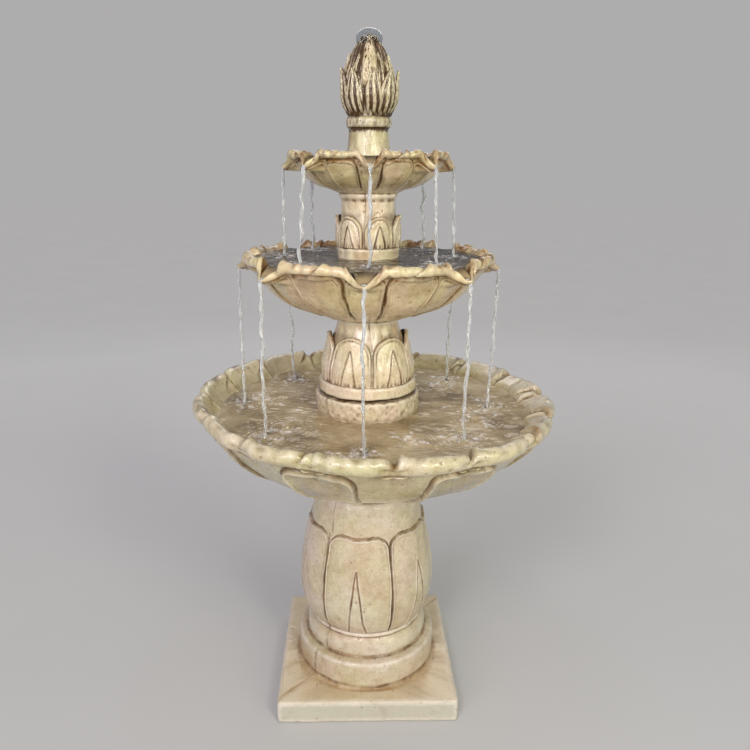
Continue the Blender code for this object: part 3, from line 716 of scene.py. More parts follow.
def make_pedestal():
    """Square plinth, round step, torus, bead and a lotus bulb of six leaves."""
    outline = millimetres([
        (152, 0, 0), (190, 0, 1), (228, 0, 1), (234.8, 0.2, 1), (235.4, 3, 1), (235.4, 30, 1),
        (235.2, 60, 1), (234.6, 62.4, 1), (231, 63.2, 1), (215, 63.3, 0.8), (200, 63.2, 0.15),
        (191.5, 63, 0), (188.5, 63.4, 0), (188.8, 68, 0), (190.5, 100, 0), (190.4, 127, 0),
        (188, 137.5, 0), (180, 141.2, 0), (171.5, 142.8, 0), (166.5, 145.2, 0), (164.8, 150, 0),
        (165.2, 157, 0), (165.5, 166, 0), (164, 176, 0), (160, 186, 0), (154.5, 193.5, 0),
        (150.8, 196.5, 0), (150, 197.3, 0), (154.5, 199, 0), (156.2, 203.5, 0), (154.5, 208, 0),
        (148, 210, 0), (147.2, 211, 0), (150, 216, 0), (158, 227, 0), (165, 243, 0), (171, 265, 0),
        (175.2, 292, 0), (176.5, 322, 0), (174.2, 355, 0), (169, 390, 0), (162.2, 428, 0),
        (154.8, 462, 0), (150.8, 480, 0), (148.5, 497, 0), (145.5, 515, 0), (142, 535, 0),
        (137.5, 555, 0), (134, 570, 0), (132.5, 574.6, 0), (130, 575, 0), (110, 575, 0), (101, 575, 0),
        (101, 570, 0), (108, 470, 0), (140, 330, 0), (118, 215, 0), (130, 120, 0), (150, 3, 0),
    ])

    def carve(relief):
        relief.panels(
            6, PEDESTAL_FIRST, share=0.982, low=0.212, high=0.489, corner=0.036, thick=0.0042, lip=0.0022,
            groove=0.0040, swell=0.0028, dip=0.004, seed=11, wobble=0.0009,
            lip_back=0.0032, lip_width=0.0020, groove_width=0.0017,
        )
        relief.slits(
            6, PEDESTAL_FIRST - 0.012, apex=0.405, low=0.213,
            spread=0.023, width=0.0015, depth=0.0034, seed=12,
        )
        angle, _ = relief.folded(6, PEDESTAL_FIRST)
        above = smooth_step(relief.run, relief.at(0.405), relief.at(0.43))
        above = above * (1 - smooth_step(relief.run, relief.at(0.46), relief.at(0.485)))
        relief.ridge(angle * relief.radius, 0.008, 0.0016, above * relief.outside)
        # stretches of the mould's seam: azimuth in degrees, foot, top, seed, width and depth
        for side, low, high, seed, width, depth in (
            (-38.0, 0.143, 0.490, 13, 0.0018, 0.0020),
            (-35.5, 0.488, 0.575, 19, 0.0013, 0.0014),
            (-45.0, 0.0602, 0.143, 14, 0.0020, 0.0022),
        ):
            for azimuth in (math.radians(side), math.radians(side + 180)):
                relief.seam(azimuth, low, high, seed, width, depth)
        relief.corner_seam(math.radians(-45.0), 18)
        for height, dirt_and_shade in ((0.0632, 0.60), (0.1975, 0.95), (0.2108, 1.0)):
            relief.darken(dirt_and_shade * relief.near(height, 0.0030))
        cove = relief.near(0.1440, 0.007)
        patches = relief.patches(15, (2, 12), 40.0, base=0.5, gain=0.6)
        relief.darken(0.25 * cove * patches)
        corner = bell(relief.radius - 0.195, 0.030) * (relief.height > 0.055) * (relief.height < 0.07)
        relief.darken(0.42 * corner * patches * relief.outside)
        uneven = relief.noise(20, (3, 24), 70.0) * relief.outside
        relief.lift += 0.0004 * uneven
        relief.pits(90, 16, size=0.0026, depth=0.0012)
        # painted highlight: a paler band round the torus's bulge
        relief.pale = 0.6 * relief.near(0.1700, 0.020)
        edge = relief.near(0.0615, 0.003)
        relief.lift -= 0.0010 * edge * np.clip(relief.wave(17, (8, 90)), 0, 2)

    def focus(r, z):
        fine = 1.4 * ((z > 0.13) & (z < 0.50) & (r > 0.143))
        return fine - 0.75 * ((r < 0.145) & (z < 0.5700)) - 0.6 * (z < 0.001)

    finish = antique_stone(
        "antique_stone_pedestal", (0.70, 0.625, 0.50), (0.635, 0.54, 0.39), (0.515, 0.40, 0.245),
        soak=1.0, gloss=0.5, stain=(0.250, 0.140, 0.055), slab=(0.54, 0.535, 0.45), wear_and_painted_light_tone=(0.80, 0.725, 0.64),
    )
    casting(
        "pedestal_carved", "pedestal", "pedestal", outline, carve, finish,
        columns=720, rows=250, marks=(12, PEDESTAL_FIRST, 0.35), focus=focus,
    )


def spout_shape(relief, first, rim, crease, drop, crease_drop, reach, half, middle):
    """Bends a bowl's rolled rim out and down into a thin pouring lip at each of its eight spouts.

    Returns how far each azimuth is into a spout, from 0 beside it to 1 on its middle.
    """
    angle, _ = relief.folded(SPOUTS, first)
    near = np.sqrt(angle ** 2 + 0.010 ** 2) - 0.010
    sharp = np.clip(1 - near / half, 0, 1)
    soft = 0.5 + 0.5 * np.cos(math.pi * np.clip(np.abs(angle) / (1.55 * half), 0, 1))
    climb = np.clip((relief.height - crease) / (rim - crease), 0, 1)
    share = crease_drop / drop
    below = smooth_step(relief.height, crease - 0.035, crease)
    outside = np.where(relief.height > crease, share + (1 - share) * climb, share * below)
    inside = smooth_step(relief.height, rim - 0.042, rim - 0.006)
    weight = np.where(relief.outside, outside, inside)
    valley = np.where(relief.outside, climb * sharp + (1 - climb) * soft, sharp)
    relief.drop += drop * valley * weight
    pushed = np.where(relief.height > crease, 0.75 + 0.25 * climb, 0.75 * below)
    pushed = np.where(relief.outside, pushed, inside)
    relief.out += reach * valley ** 1.3 * pushed
    thin = smooth_step(sharp, 0.02, 0.40)
    rolled = np.where(relief.outside, relief.height > crease, relief.height > rim - 0.02)
    relief.out += 0.55 * thin * rolled * (middle - relief.radius)
    shoulder = bell(np.abs(angle) - half * 1.15, half * 0.30)
    relief.drop -= 0.07 * drop * shoulder * weight
    return sharp


def overlaps(relief, count, first, lean, step, depth, seed, reach, jitter, blots=0.75):
    """Creases where one fold of a rolled rim laps over the next."""
    rng = np.random.default_rng(seed)
    crest = relief.run[0, relief.top_row]
    mask = bell(relief.run - crest, reach)
    for index in range(count):
        centre = first + TAU * index / count + rng.normal(0, jitter)
        tilt = lean * rng.uniform(0.5, 1.4)
        turn = (relief.theta - centre + math.pi) % TAU - math.pi
        distance = turn * relief.radius - tilt * (relief.run - crest)
        local = mask * (np.abs(turn) < 0.5)
        deep = depth * rng.uniform(0.6, 1.3)
        blot = relief.patches(seed + 50 + index, (6, 40), 90.0, base=0.60, gain=0.9)
        stained = blot * bell(distance, 0.013) * local
        relief.darken(blots * stained)
        relief.groove(distance, 0.0026, deep, rng.uniform(0.55, 1.0), local, 1.5)
        raised = np.exp(-np.clip(distance - 0.002, 0, 1) / 0.020) * smooth_step(distance, 0.0, 0.005)
        relief.lift += local * step * raised
        sunk = np.exp(-np.clip(-distance - 0.002, 0, 1) / 0.014) * smooth_step(-distance, 0.0, 0.004)
        relief.lift -= local * step * 0.5 * sunk


def rim_wear(relief, seed, inner, outer, bare):
    """Brown left in patches along the inner edge of a rim and over its roll."""
    crest = relief.run[0, relief.top_row]
    patch = relief.patches(seed, (5, 40), 60.0, base=-0.25, gain=1.0)
    edge = bell(relief.run - crest - 0.006, 0.009)
    relief.darken(inner * edge * patch)
    patch = relief.patches(seed + 100, (12, 70), 260.0, base=-bare, gain=1.0)
    roll = bell(relief.run - crest + 0.007, 0.012)
    relief.darken(outer * roll * patch)


def make_basin():
    """Wide bowl whose rolled rim is sixteen lapped folds, with petals on its outside."""
    outline = millimetres([
        (0.5, 575.3), (60, 575.3), (115, 575.3), (128, 575.3), (134, 579), (144, 589), (175, 604),
        (211, 621), (280, 656), (344, 693), (386, 732), (412, 764), (426, 786), (431, 793.5), (433, 795),
        (442, 795.5), (452, 800.5), (458, 810), (458.5, 820), (454, 829), (445, 834.2), (435, 833),
        (427.5, 827), (421, 815), (408, 795), (388, 770), (362, 745), (310, 702), (235, 658), (180, 631),
        (164, 628), (90, 628), (0.5, 628),
    ])
    rim = 0.8342
    petals = 2 * SPOUTS

    def carve(relief):
        crest = relief.run[0, relief.top_row]
        angle, _ = relief.folded(petals, BASIN_FIRST + math.pi / petals)
        lobe = np.abs(angle) / (math.pi / petals)
        weight = smooth_step(relief.height, rim - 0.13, rim - 0.025)
        relief.out -= 0.0120 * lobe ** 3 * weight
        relief.drop += 0.0120 * lobe ** 6 * smooth_step(relief.height, rim - 0.05, rim)
        wavy = relief.wave(21, (3, 18))
        relief.out += 0.0022 * wavy * weight
        relief.drop += 0.0016 * relief.wave(22, (3, 26)) * weight
        lumpy = relief.noise(29, (24, 80), 90.0) * np.where(relief.outside, 1.0, 0.35)
        relief.lift += 0.0010 * lumpy * bell(relief.run - crest, 0.04)

        # near each notch the roll gives way to the tip of the petal below it
        between = 1 - smooth_step(np.abs(lobe), 0.50, 0.80)
        tip = (1 - between) * relief.outside
        relief.lift -= 0.0050 * tip * relief.near(0.8120, 0.011)
        relief.lift += 0.0100 * tip * relief.near(0.7930, 0.0065)
        rolled = between * relief.near(0.7945, 0.0055)
        relief.lift -= 0.0030 * rolled
        relief.darken(0.9 * rolled)

        edge, mask, rise = relief.panels(
            SPOUTS, BASIN_FIRST + math.pi / SPOUTS, share=0.50, low=0.600, high=0.787, corner=0.034,
            thick=0.0012, lip=0.0038, groove=0.0036, swell=0.002, tilt=0.0055, seed=24, wobble=0.0016,
            lip_back=0.0050, lip_width=0.0034, groove_width=0.0022, foot=0.10, crisp=0.0035,
        )
        # a hollow inside the top of each petal, darkened with brown stain and painted shade
        hollow = smooth_step(-edge, 0.007, 0.030) * mask * rise
        relief.lift -= 0.0050 * hollow
        relief.darken(0.30 * hollow)
        angle, _ = relief.folded(SPOUTS, BASIN_FIRST)
        low = smooth_step(relief.run, relief.at(0.70), relief.at(0.77)) * relief.outside
        low = low * (relief.run < relief.at(0.787))
        sunken = np.clip(1 - (angle / (math.pi / SPOUTS * 0.47)) ** 4, 0, 1) * low
        relief.lift -= 0.0030 * sunken
        # the inner wall slopes more gently towards +X
        sloping = np.clip(np.sin(relief.theta), 0, 1) * smooth_step(relief.height, 0.735, 0.780)
        sloping = sloping * (1 - smooth_step(relief.height, 0.812, 0.832)) * (1 - relief.outside)
        relief.out -= 0.020 * sloping
        # painted shade: the gentler inner wall towards +X is darkened on its lower part, by the water
        relief.darken(0.60 * sloping * (1 - smooth_step(relief.height, 0.785, 0.812)))
        overlaps(
            relief, petals, BASIN_FIRST, lean=0.60, step=0.0095, depth=0.0110, seed=25, reach=0.030,
            jitter=0.035, blots=0.85,
        )
        inner = (1 - relief.outside) * smooth_step(relief.height, 0.70, 0.76)
        shifted, _ = relief.folded(petals, BASIN_FIRST)
        crease = shifted * relief.radius + 0.10 * (relief.run - crest - 0.03)
        relief.groove(crease, 0.0030, 0.0040, 0.85, inner, 1.2)
        relief.ridge(crease - 0.010, 0.0100, 0.0026, inner)
        tide = bell(relief.height - BASIN_WATER - 0.002, 0.009) * (1 - relief.outside)
        blotch = relief.patches(30, (3, 24), 40.0, base=0.6, gain=0.7)
        relief.darken(0.50 * tide * blotch)
        # painted light: the inner wall is paler above the water, and the rim's crest paler still towards +X
        above = smooth_step(relief.height, BASIN_WATER - 0.006, BASIN_WATER + 0.010)
        painted_light_right = 1.3 * np.clip(np.sin(relief.theta), 0, 1) * bell(relief.run - crest - 0.004, 0.026)
        relief.pale = np.maximum(0.15 * (1 - relief.outside) * above, painted_light_right)
        rim_wear(relief, 26, inner=1.0, outer=0.55, bare=0.45)
        relief.pits(150, 27, size=0.0034, depth=0.0018, low=0.60, high=0.84)

    def focus(r, z):
        return 3.4 * bell(z - 0.812, 0.022) * (r > 0.41) + 0.9 * ((r > 0.30) & (z < 0.78)) - 0.7 * (r < 0.16)

    finish = antique_stone(
        "antique_stone_basin", (0.71, 0.650, 0.455), (0.605, 0.545, 0.340), (0.435, 0.360, 0.185),
        soak=1.1, gloss=0.7, stain=(0.210, 0.118, 0.038), rough=(0.16, 0.40),
    )
    casting(
        "lower_basin_carved", "lower_basin", "basin", outline, carve, finish, columns=900, rows=190,
        marks=(petals, BASIN_FIRST + math.pi / petals, 0.3), focus=focus, closed=False, settle=leaning,
    )


# how each bowl's rim bends at a spout: heights of the rim and of the crease under its roll, how far
# both drop and reach out, half the spout's angle, and the radius of the roll's middle
SPOUT_HALF = math.radians(7.2)
MIDDLE_SPOUT = dict(
    rim=1.1922, crease=1.1705, drop=0.0368, crease_drop=0.0212, reach=0.0285, half=SPOUT_HALF, middle=0.2925
)
UPPER_SPOUT = dict(
    rim=1.4215, crease=1.4072, drop=0.0300, crease_drop=0.0220, reach=0.0240, half=SPOUT_HALF, middle=0.1800
)


def make_pump_cover():
    """Plain round housing, rough cast, with four water inlets at its foot."""
    low, high, outer, inner, bore = 0.6283, 0.8414, 0.1316, 0.1176, 0.0300
    outline = [
        (inner + 0.002, low), (outer - 0.002, low), (outer, low), (outer, low + 0.003),
        (outer + 0.0005, 0.730), (outer + 0.0003, 0.800), (outer, high - 0.006),
        (outer - 0.001, high - 0.0012), (outer - 0.005, high),
        (0.110, high), (0.060, high), (bore, high), (bore, high - 0.002), (bore, high - 0.024),
        (inner - 0.01, high - 0.024), (inner, high - 0.026), (inner, high - 0.06), (inner, low + 0.01),
        (inner, low),
    ]

    def carve(relief):
        relief.pits(420, 31, size=0.0024, depth=0.0018, low=0.74, high=high)
        relief.lift += 0.0011 * relief.noise(32, (8, 48), 520.0) * relief.outside
        tide = bell(relief.height - BASIN_WATER - 0.003, 0.006) * relief.outside
        relief.darken(0.55 * tide)
        flecks = relief.patches(34, (8, 50), 620.0, base=-0.75, gain=1.0) * relief.outside
        relief.darken(0.95 * flecks * (relief.height > 0.78))
        top = smooth_step(relief.height, high - 0.0025, high - 0.0005) * (relief.radius < outer - 0.004)
        relief.darken(top)
        # arched inlets at the foot, under water
        angle, _ = relief.folded(4, 0.0)
        arch = np.clip(1 - (np.abs(angle) * relief.radius / 0.021) ** 4, 0, 1)
        foot = smooth_step(-relief.height, -(low + 0.034), -(low + 0.012))
        relief.drop -= 0.028 * arch * foot * (relief.radius > 0.10)

    finish = antique_stone(
        "antique_stone_cover", (0.80, 0.70, 0.54), (0.73, 0.62, 0.47), (0.57, 0.44, 0.30), soak=0.9, gloss=0.4
    )
    casting(
        "pump_cover_carved", "pump_cover", "basin", outline, carve, finish,
        columns=360, rows=130, marks=(4, 0.0, 0.0),
    )


def make_column(name, body, outline, *, first, low, high, seed, columns, **leaf):
    """A hollow column with six leaves, from low to high, whose tips turn outward round its neck."""

    def carve(relief):
        relief.darken(0.9 * relief.near(low, 0.0045))
        bottom = outline[0][1]
        relief.darken(1 - smooth_step(relief.height, bottom + 0.001, bottom + 0.005))
        behind = smooth_step(relief.run, relief.at(low), relief.at(low) + 0.01) * relief.outside
        behind = behind * (1 - smooth_step(relief.run, relief.at(high - 0.004), relief.at(high + 0.012)))
        relief.darken(0.55 * behind)
        relief.pits(110, seed + 2, size=0.0024, depth=0.0013)
        relief.seam(first + math.pi / 6, low, 2.0, seed + 3)
        uneven = relief.noise(seed + 4, (3, 20), 110.0) * relief.outside
        relief.lift += 0.0006 * uneven

    def focus(r, z):
        return 1.2 * ((z > low - 0.01) & (z < high + 0.03) & (r > 0.055)) - 0.6 * (r < 0.053)

    finish = antique_stone(
        f"antique_stone_{name}", (0.90, 0.80, 0.63), (0.82, 0.705, 0.51), (0.64, 0.50, 0.315),
        soak=1.1, gloss=0.8, rough=(0.14, 0.40),
    )
    casting(
        f"{name}_carved", name, body, outline, carve, finish,
        columns=columns, rows=150, marks=(12, first, 0.2), focus=focus,
    )
    top = int(np.argmax([z for _, z in outline]))
    radii = softened([(r, z) for r, z in outline[:top] if z >= low - 0.004], 2)
    for index in range(6):
        piece = leaf_plate(
            f"{name}_leaf_{index + 1}", first + TAU * index / 6, low, high, (radii[:, 1], radii[:, 0]),
            seed * 10 + index, **leaf,
        )
        finished(piece, finish, body, "cast_stone", name)


MIDDLE_COLUMN = millimetres([
    (52, 845.5), (110, 845.8), (119.2, 846.4), (122.4, 848), (123.6, 851.2), (123.4, 869), (121.7, 874.8),
    (117, 876.8), (112.8, 877.4), (111.2, 879), (110.8, 886), (111.2, 899), (110.2, 914), (106, 931),
    (100, 949), (94, 966), (88.5, 982), (83.8, 996), (79.8, 1007), (77.5, 1016), (76.8, 1024), (78, 1029),
    (77, 1030), (60, 1030), (42.5, 1030), (42.5, 1027), (50, 848),
])
UPPER_COLUMN = millimetres([
    (40, 1120.3), (70, 1120.3), (74.5, 1120.3), (74.8, 1123), (74.5, 1170), (74.8, 1192), (76.2, 1197.5),
    (75.7, 1203), (72.2, 1205.6), (70, 1207), (70.2, 1212), (71.4, 1222), (71.6, 1235), (70, 1250),
    (68.2, 1264), (66.4, 1276), (65.2, 1288), (64.8, 1302), (65, 1314), (66.8, 1318), (70.2, 1320.5),
    (70.8, 1324), (70.6, 1329), (69, 1330), (50, 1330), (35.5, 1330), (35.5, 1327), (38, 1123),
])
MIDDLE_BOWL = millimetres([
    (26.2, 1030.3), (60, 1030.3), (77.5, 1030.3), (80, 1031.2), (103.2, 1040), (144, 1055), (189, 1072),
    (219, 1089.5), (242, 1112), (261, 1136), (276, 1158), (282.5, 1168), (284, 1170), (292, 1170),
    (299.5, 1173), (302.8, 1179.5), (301.8, 1186.5), (296.5, 1191.2), (288.5, 1192.2), (282, 1188.8),
    (276.5, 1181), (268, 1170), (250, 1150), (220, 1126), (175, 1104), (130, 1093), (112, 1096),
    (97, 1116), (90, 1119.8), (60, 1120), (27.5, 1120), (26.2, 1118.5), (26.2, 1033),
])
UPPER_BOWL = millimetres([
    (26.2, 1330.3), (50, 1330.3), (69, 1330.3), (71, 1331), (80, 1335), (102, 1344.5), (127, 1356),
    (145, 1369.5), (159, 1385), (170, 1400), (174.2, 1405.8), (175.5, 1407), (181.5, 1407),
    (186.8, 1409.5), (188.8, 1413.5), (187.2, 1418.2), (182.8, 1421), (177, 1421.5), (172.5, 1418.5),
    (168.5, 1412), (160, 1403), (145, 1393), (122, 1382.5), (95, 1375.5), (80, 1378), (69, 1384.2),
    (63, 1385), (40, 1385), (27.5, 1385), (26.2, 1383.5), (26.2, 1333),
])


def make_bowl(
    name, body, outline, first, spout, *, low, petal_top, corner, water, size, bare, seed, columns, rows
):
    """A bowl with eight pouring spouts, an arched petal under each and a wider one between.

    size scales its carving, and bare says how much of its rim's roll is left unstained.
    """
    rim = spout["rim"]

    def carve(relief):
        crest = relief.run[0, relief.top_row]
        # wide petals between the spouts, then narrow ones under them
        edge, mask, rise = relief.panels(
            SPOUTS, first + math.pi / SPOUTS, share=0.55, low=low, high=petal_top, corner=corner,
            thick=0.0022, lip=0.0026, groove=0.0042 * size, swell=0.0030 * size, tilt=0.0018,
            seed=seed + 1, wobble=0.0013, foot=0.03, crisp=0.0026,
            lip_back=0.0038 * size, lip_width=0.0021 * size, groove_width=0.0018 * size,
        )
        relief.panels(
            SPOUTS, first, share=0.41, low=low, high=petal_top - 0.002, corner=0.8 * corner,
            thick=0.0004, lip=0.0026, groove=0.0014, seed=seed + 12, wobble=0.0008, foot=0.05,
            crisp=0.003, dirt_and_shade=0.6, lip_back=0.0034 * size, lip_width=0.0022 * size,
            groove_width=0.0012 * size,
        )
        # a hollow under the roll on both sides of each spout, darkened with brown stain and painted shade
        angle, _ = relief.folded(SPOUTS, first)
        lobe = np.abs(angle) - math.radians(5.4)
        under_arch = bell(lobe, math.radians(3.4)) * relief.near(petal_top - 0.011, 0.0085)
        relief.lift -= 0.0080 * size * under_arch
        relief.darken(0.72 * under_arch)
        # brown stain and painted shade inside the top of each wide petal
        shade = smooth_step(-edge, 0.004, 0.016) * smooth_step(rise, 0.72, 0.98) * mask
        relief.darken(0.36 * shade)
        lumpy = relief.noise(seed + 8, (20, 90), 90.0)
        relief.lift += 0.0017 * size * lumpy * bell(relief.run - crest, 0.03)
        # folds of the rim: degrees from a spout, lean, step, depth, seed, reach and jitter
        for turn, lean, step, depth, offset, reach, jitter in (
            (7.4, 0.45, 0.0040, 0.0050, 2, 0.022, 0.008),
            (22.5, 0.75, 0.0048, 0.0062, 3, 0.024, 0.07),
            (36.0, -0.40, 0.0028, 0.0036, 9, 0.018, 0.03),
        ):
            overlaps(
                relief, SPOUTS, first + math.radians(turn), lean, step * size, depth * size,
                seed + offset, reach, jitter,
            )
        wavy = relief.wave(seed + 4, (3, 26))
        relief.drop += 0.0012 * wavy * smooth_step(relief.height, rim - 0.04, rim)
        # the spouts, and the stains under the roll, in their throats and above the water
        sharp = spout_shape(relief, first, **spout)
        relief.darken(0.9 * relief.near(spout["crease"] - 0.002, 0.0045))
        throat = smooth_step(sharp, 0.1, 0.7) * (1 - relief.outside) * (relief.height > rim - 0.04)
        relief.darken(0.40 * throat)
        blotch = relief.patches(seed + 10, (4, 30), 60.0, base=0.65, gain=0.5)
        bank = smooth_step(relief.run, crest - 0.001, crest + 0.006) * (relief.height > water - 0.008)
        relief.darken(bank * blotch)
        rim_wear(relief, seed + 5, inner=0.9, outer=0.9, bare=bare)
        relief.pits(140, seed + 6, size=0.0026, depth=0.0014)
        uneven = relief.noise(seed + 7, (6, 40), 90.0) * relief.outside
        relief.lift += 0.0005 * uneven

    # the outline's points 3 to 11 run up the outside, and 12 is under the rim's roll
    side = np.array(outline[3:12]).T
    side_foot, roll_foot = outline[4][0], outline[12][0]

    def focus(r, z):
        near = bell(z - rim + 0.012, 0.018) * (r > roll_foot - 0.03)
        outer = (r > side_foot) & (np.interp(r, *side) > z - 0.006)
        return 3.0 * near + 1.1 * outer - 0.6 * (r < 0.065)

    finish = antique_stone(
        f"antique_stone_{name}", (0.88, 0.765, 0.53), (0.79, 0.66, 0.41), (0.57, 0.435, 0.22),
        soak=1.15, gloss=0.6, stain=(0.230, 0.112, 0.032), rough=(0.16, 0.42),
        # on the bowls the wear tone is a darker tan, darker still on the smaller bowl: brown wear on the
        # rims, and painted shade that dims the rims where the lamps light them from above
        wear_and_painted_light_tone=tuple(size * channel for channel in (0.62, 0.52, 0.345)),
    )
    casting(
        f"{name}_carved", name, body, outline, carve, finish,
        columns=columns, rows=rows, marks=(4 * SPOUTS, first, 0.2), focus=focus,
    )


def blade(name, azimuth, radii, *, width, low, high, thick, ridges, curl, seed, blunt):
    """One pointed leaf of the bud: a closed curved blade with raised veins, radii from foot to tip."""
    rng = np.random.default_rng(seed)
    across = np.linspace(-1, 1, 41)
    along = np.linspace(0, 1, 64)
    u, t = np.meshgrid(across, along, indexing="ij")
    taper = np.clip(1 - t ** (blunt + rng.uniform(-0.3, 0.3)), 0, 1) ** 0.75 + 0.012
    sway = rng.normal(0, 0.05) * t ** 2 + 0.03 * np.sin(TAU * (t + rng.uniform(0, 1)))
    turn = azimuth + width * u * taper + sway
    heights = low + (high - low) * t * (1 - 0.10 * u ** 2 * (1 - t))
    base = np.interp(t, np.linspace(0, 1, len(radii)), radii)
    phase = rng.uniform(-0.6, 0.6)
    # veins from foot to tip, edges that fall back, and lumps
    rib = np.cos(ridges * math.pi * u + phase + 0.5 * np.sin(4 * t + seed))
    rib = np.sign(rib) * np.abs(rib) ** 0.8
    depth = 0.0021 * np.clip(1 - t, 0, 1) ** 0.4
    fall = 0.0065 * np.abs(u) ** 2.4 * (1 - 0.4 * t)
    lumps = harmonics(9 * turn, 3 * heights, seed, (3, 20), 160.0)
    rough = (0.0013 if ridges == 1 else 0.0007) * lumps
    outer = base + depth * rib - fall + curl * t ** 5 + rough
    thin = thick * (1 - 0.86 * np.abs(u) ** 3) * (1 - 0.7 * t ** 4)
    vein_dirt = np.clip(0.45 - 0.9 * rib, 0, 1) * np.clip(1.35 - 1.1 * t, 0, 1.2) + 0.9 * np.abs(u) ** 5
    vein_dirt = np.maximum(vein_dirt, 0.9 * bell(t, 0.10))
    vein_dirt = np.maximum(vein_dirt, 0.6 * np.clip(-lumps - 0.35, 0, 1))
    return plate(name, outer, outer - thin, turn, heights, vein_dirt)


def make_finial():
    """Neck, bead ring and a pointed bud: four tiers of leaves and one broad leaf in front."""
    outline = millimetres([
        (28.5, 1385.3), (50, 1385.3), (54.5, 1385.3), (54.5, 1387), (53.5, 1400), (50.5, 1422),
        (47.5, 1441), (45.8, 1456), (45.2, 1468), (44.8, 1473.8), (45, 1474.8), (49, 1475.5),
        (52, 1480.5), (52.7, 1487), (51.8, 1494.5), (48.8, 1498.8), (47.5, 1499.5), (47.8, 1503),
        (51.5, 1516), (54.8, 1535), (55.6, 1560), (54, 1583), (49.5, 1605), (42, 1626), (32, 1647),
        (21, 1662), (11.5, 1669), (8.5, 1670.5), (7.2, 1670), (7.2, 1660), (7.2, 1440), (14, 1430),
        (14, 1396), (28, 1392.5), (28.5, 1387),
    ])

    def carve(relief):
        folds = np.cos(26 * relief.theta + 0.5 * np.sin(5 * relief.theta) + 30 * relief.run)
        bud = smooth_step(relief.height, 1.502, 1.515) * relief.outside
        relief.lift += 0.0018 * folds * bud
        relief.darken(bud * np.clip(0.9 - 0.4 * folds, 0, 1))
        for height in (1.4742, 1.4996):
            relief.darken(relief.near(height, 0.0030))
        relief.lift += 0.0004 * relief.noise(45, (3, 16), 160.0) * relief.outside
        ring = bell(relief.height - 1.4870, 0.009) * (relief.radius > 0.047) * relief.outside
        mottled = relief.patches(46, (6, 30), 240.0, base=0.4, gain=0.8)
        relief.lift += 0.0012 * ring * (mottled - 0.5)
        relief.darken(0.55 * ring * mottled)
        relief.pits(60, 41, size=0.0020, depth=0.0012)

    finish = antique_stone(
        "antique_stone_finial", (0.82, 0.745, 0.54), (0.71, 0.62, 0.42), (0.50, 0.385, 0.20),
        soak=1.7, gloss=0.6, stain=(0.095, 0.047, 0.015), rough=(0.16, 0.4),
    )
    casting(
        "finial_core", "finial", "finial", outline, carve, finish, columns=300, rows=150, marks=(6, 0.0, 0.0)
    )
    rng = np.random.default_rng(42)
    # leaves in a tier, first azimuth, half width, foot, tip, ridges, curl, bluntness, radii from foot to tip
    tiers = (
        (9, 0.16, 0.385, 1.5010, 1.5970, 3, 0.0035, 2.6,
         (0.0478, 0.0560, 0.0632, 0.0664, 0.0668, 0.0662, 0.0655, 0.0650)),
        (7, 0.40, 0.42, 1.5200, 1.6360, 4, 0.0020, 2.6,
         (0.0565, 0.0618, 0.0640, 0.0628, 0.0592, 0.0540, 0.0482, 0.0435)),
        (6, -0.05, 0.50, 1.5500, 1.6620, 3, 0.0004, 3.2,
         (0.0590, 0.0600, 0.0582, 0.0530, 0.0465, 0.0390, 0.0310, 0.0245)),
        (4, 0.02, 0.70, 1.6000, 1.6735, 2, -0.0005, 3.4,
         (0.0505, 0.0478, 0.0438, 0.0388, 0.0330, 0.0275, 0.0220, 0.0165)),
    )
    for tier, (count, first, width, low, high, ridges, curl, blunt, radii) in enumerate(tiers):
        for index in range(count):
            azimuth = first + TAU * index / count + rng.normal(0, 0.05)
            leaf_width = width * rng.uniform(0.92, 1.12)
            tip = high + rng.normal(0, 0.0032) - 0.001
            reach = np.array(radii) + rng.normal(0, 0.0007)
            made = blade(
                f"bud_leaf_{tier + 1}_{index + 1}", azimuth, reach, width=leaf_width, low=low, high=tip,
                thick=0.0050, ridges=ridges, curl=curl, seed=100 * tier + index, blunt=blunt,
            )
            finished(made, finish, "finial", "cast_stone", "finial")
    # one broad smooth leaf over the front of the bud
    broad = blade(
        "bud_leaf_front", 0.03, (0.0600, 0.0632, 0.0632, 0.0598, 0.0535, 0.0458, 0.0370, 0.0270),
        width=0.56, low=1.5560, high=1.6670, thick=0.0055, ridges=1, curl=0.0, seed=977, blunt=5.5,
    )
    finished(broad, finish, "finial", "cast_stone", "finial")


# ---------------------------------------------------------------- water


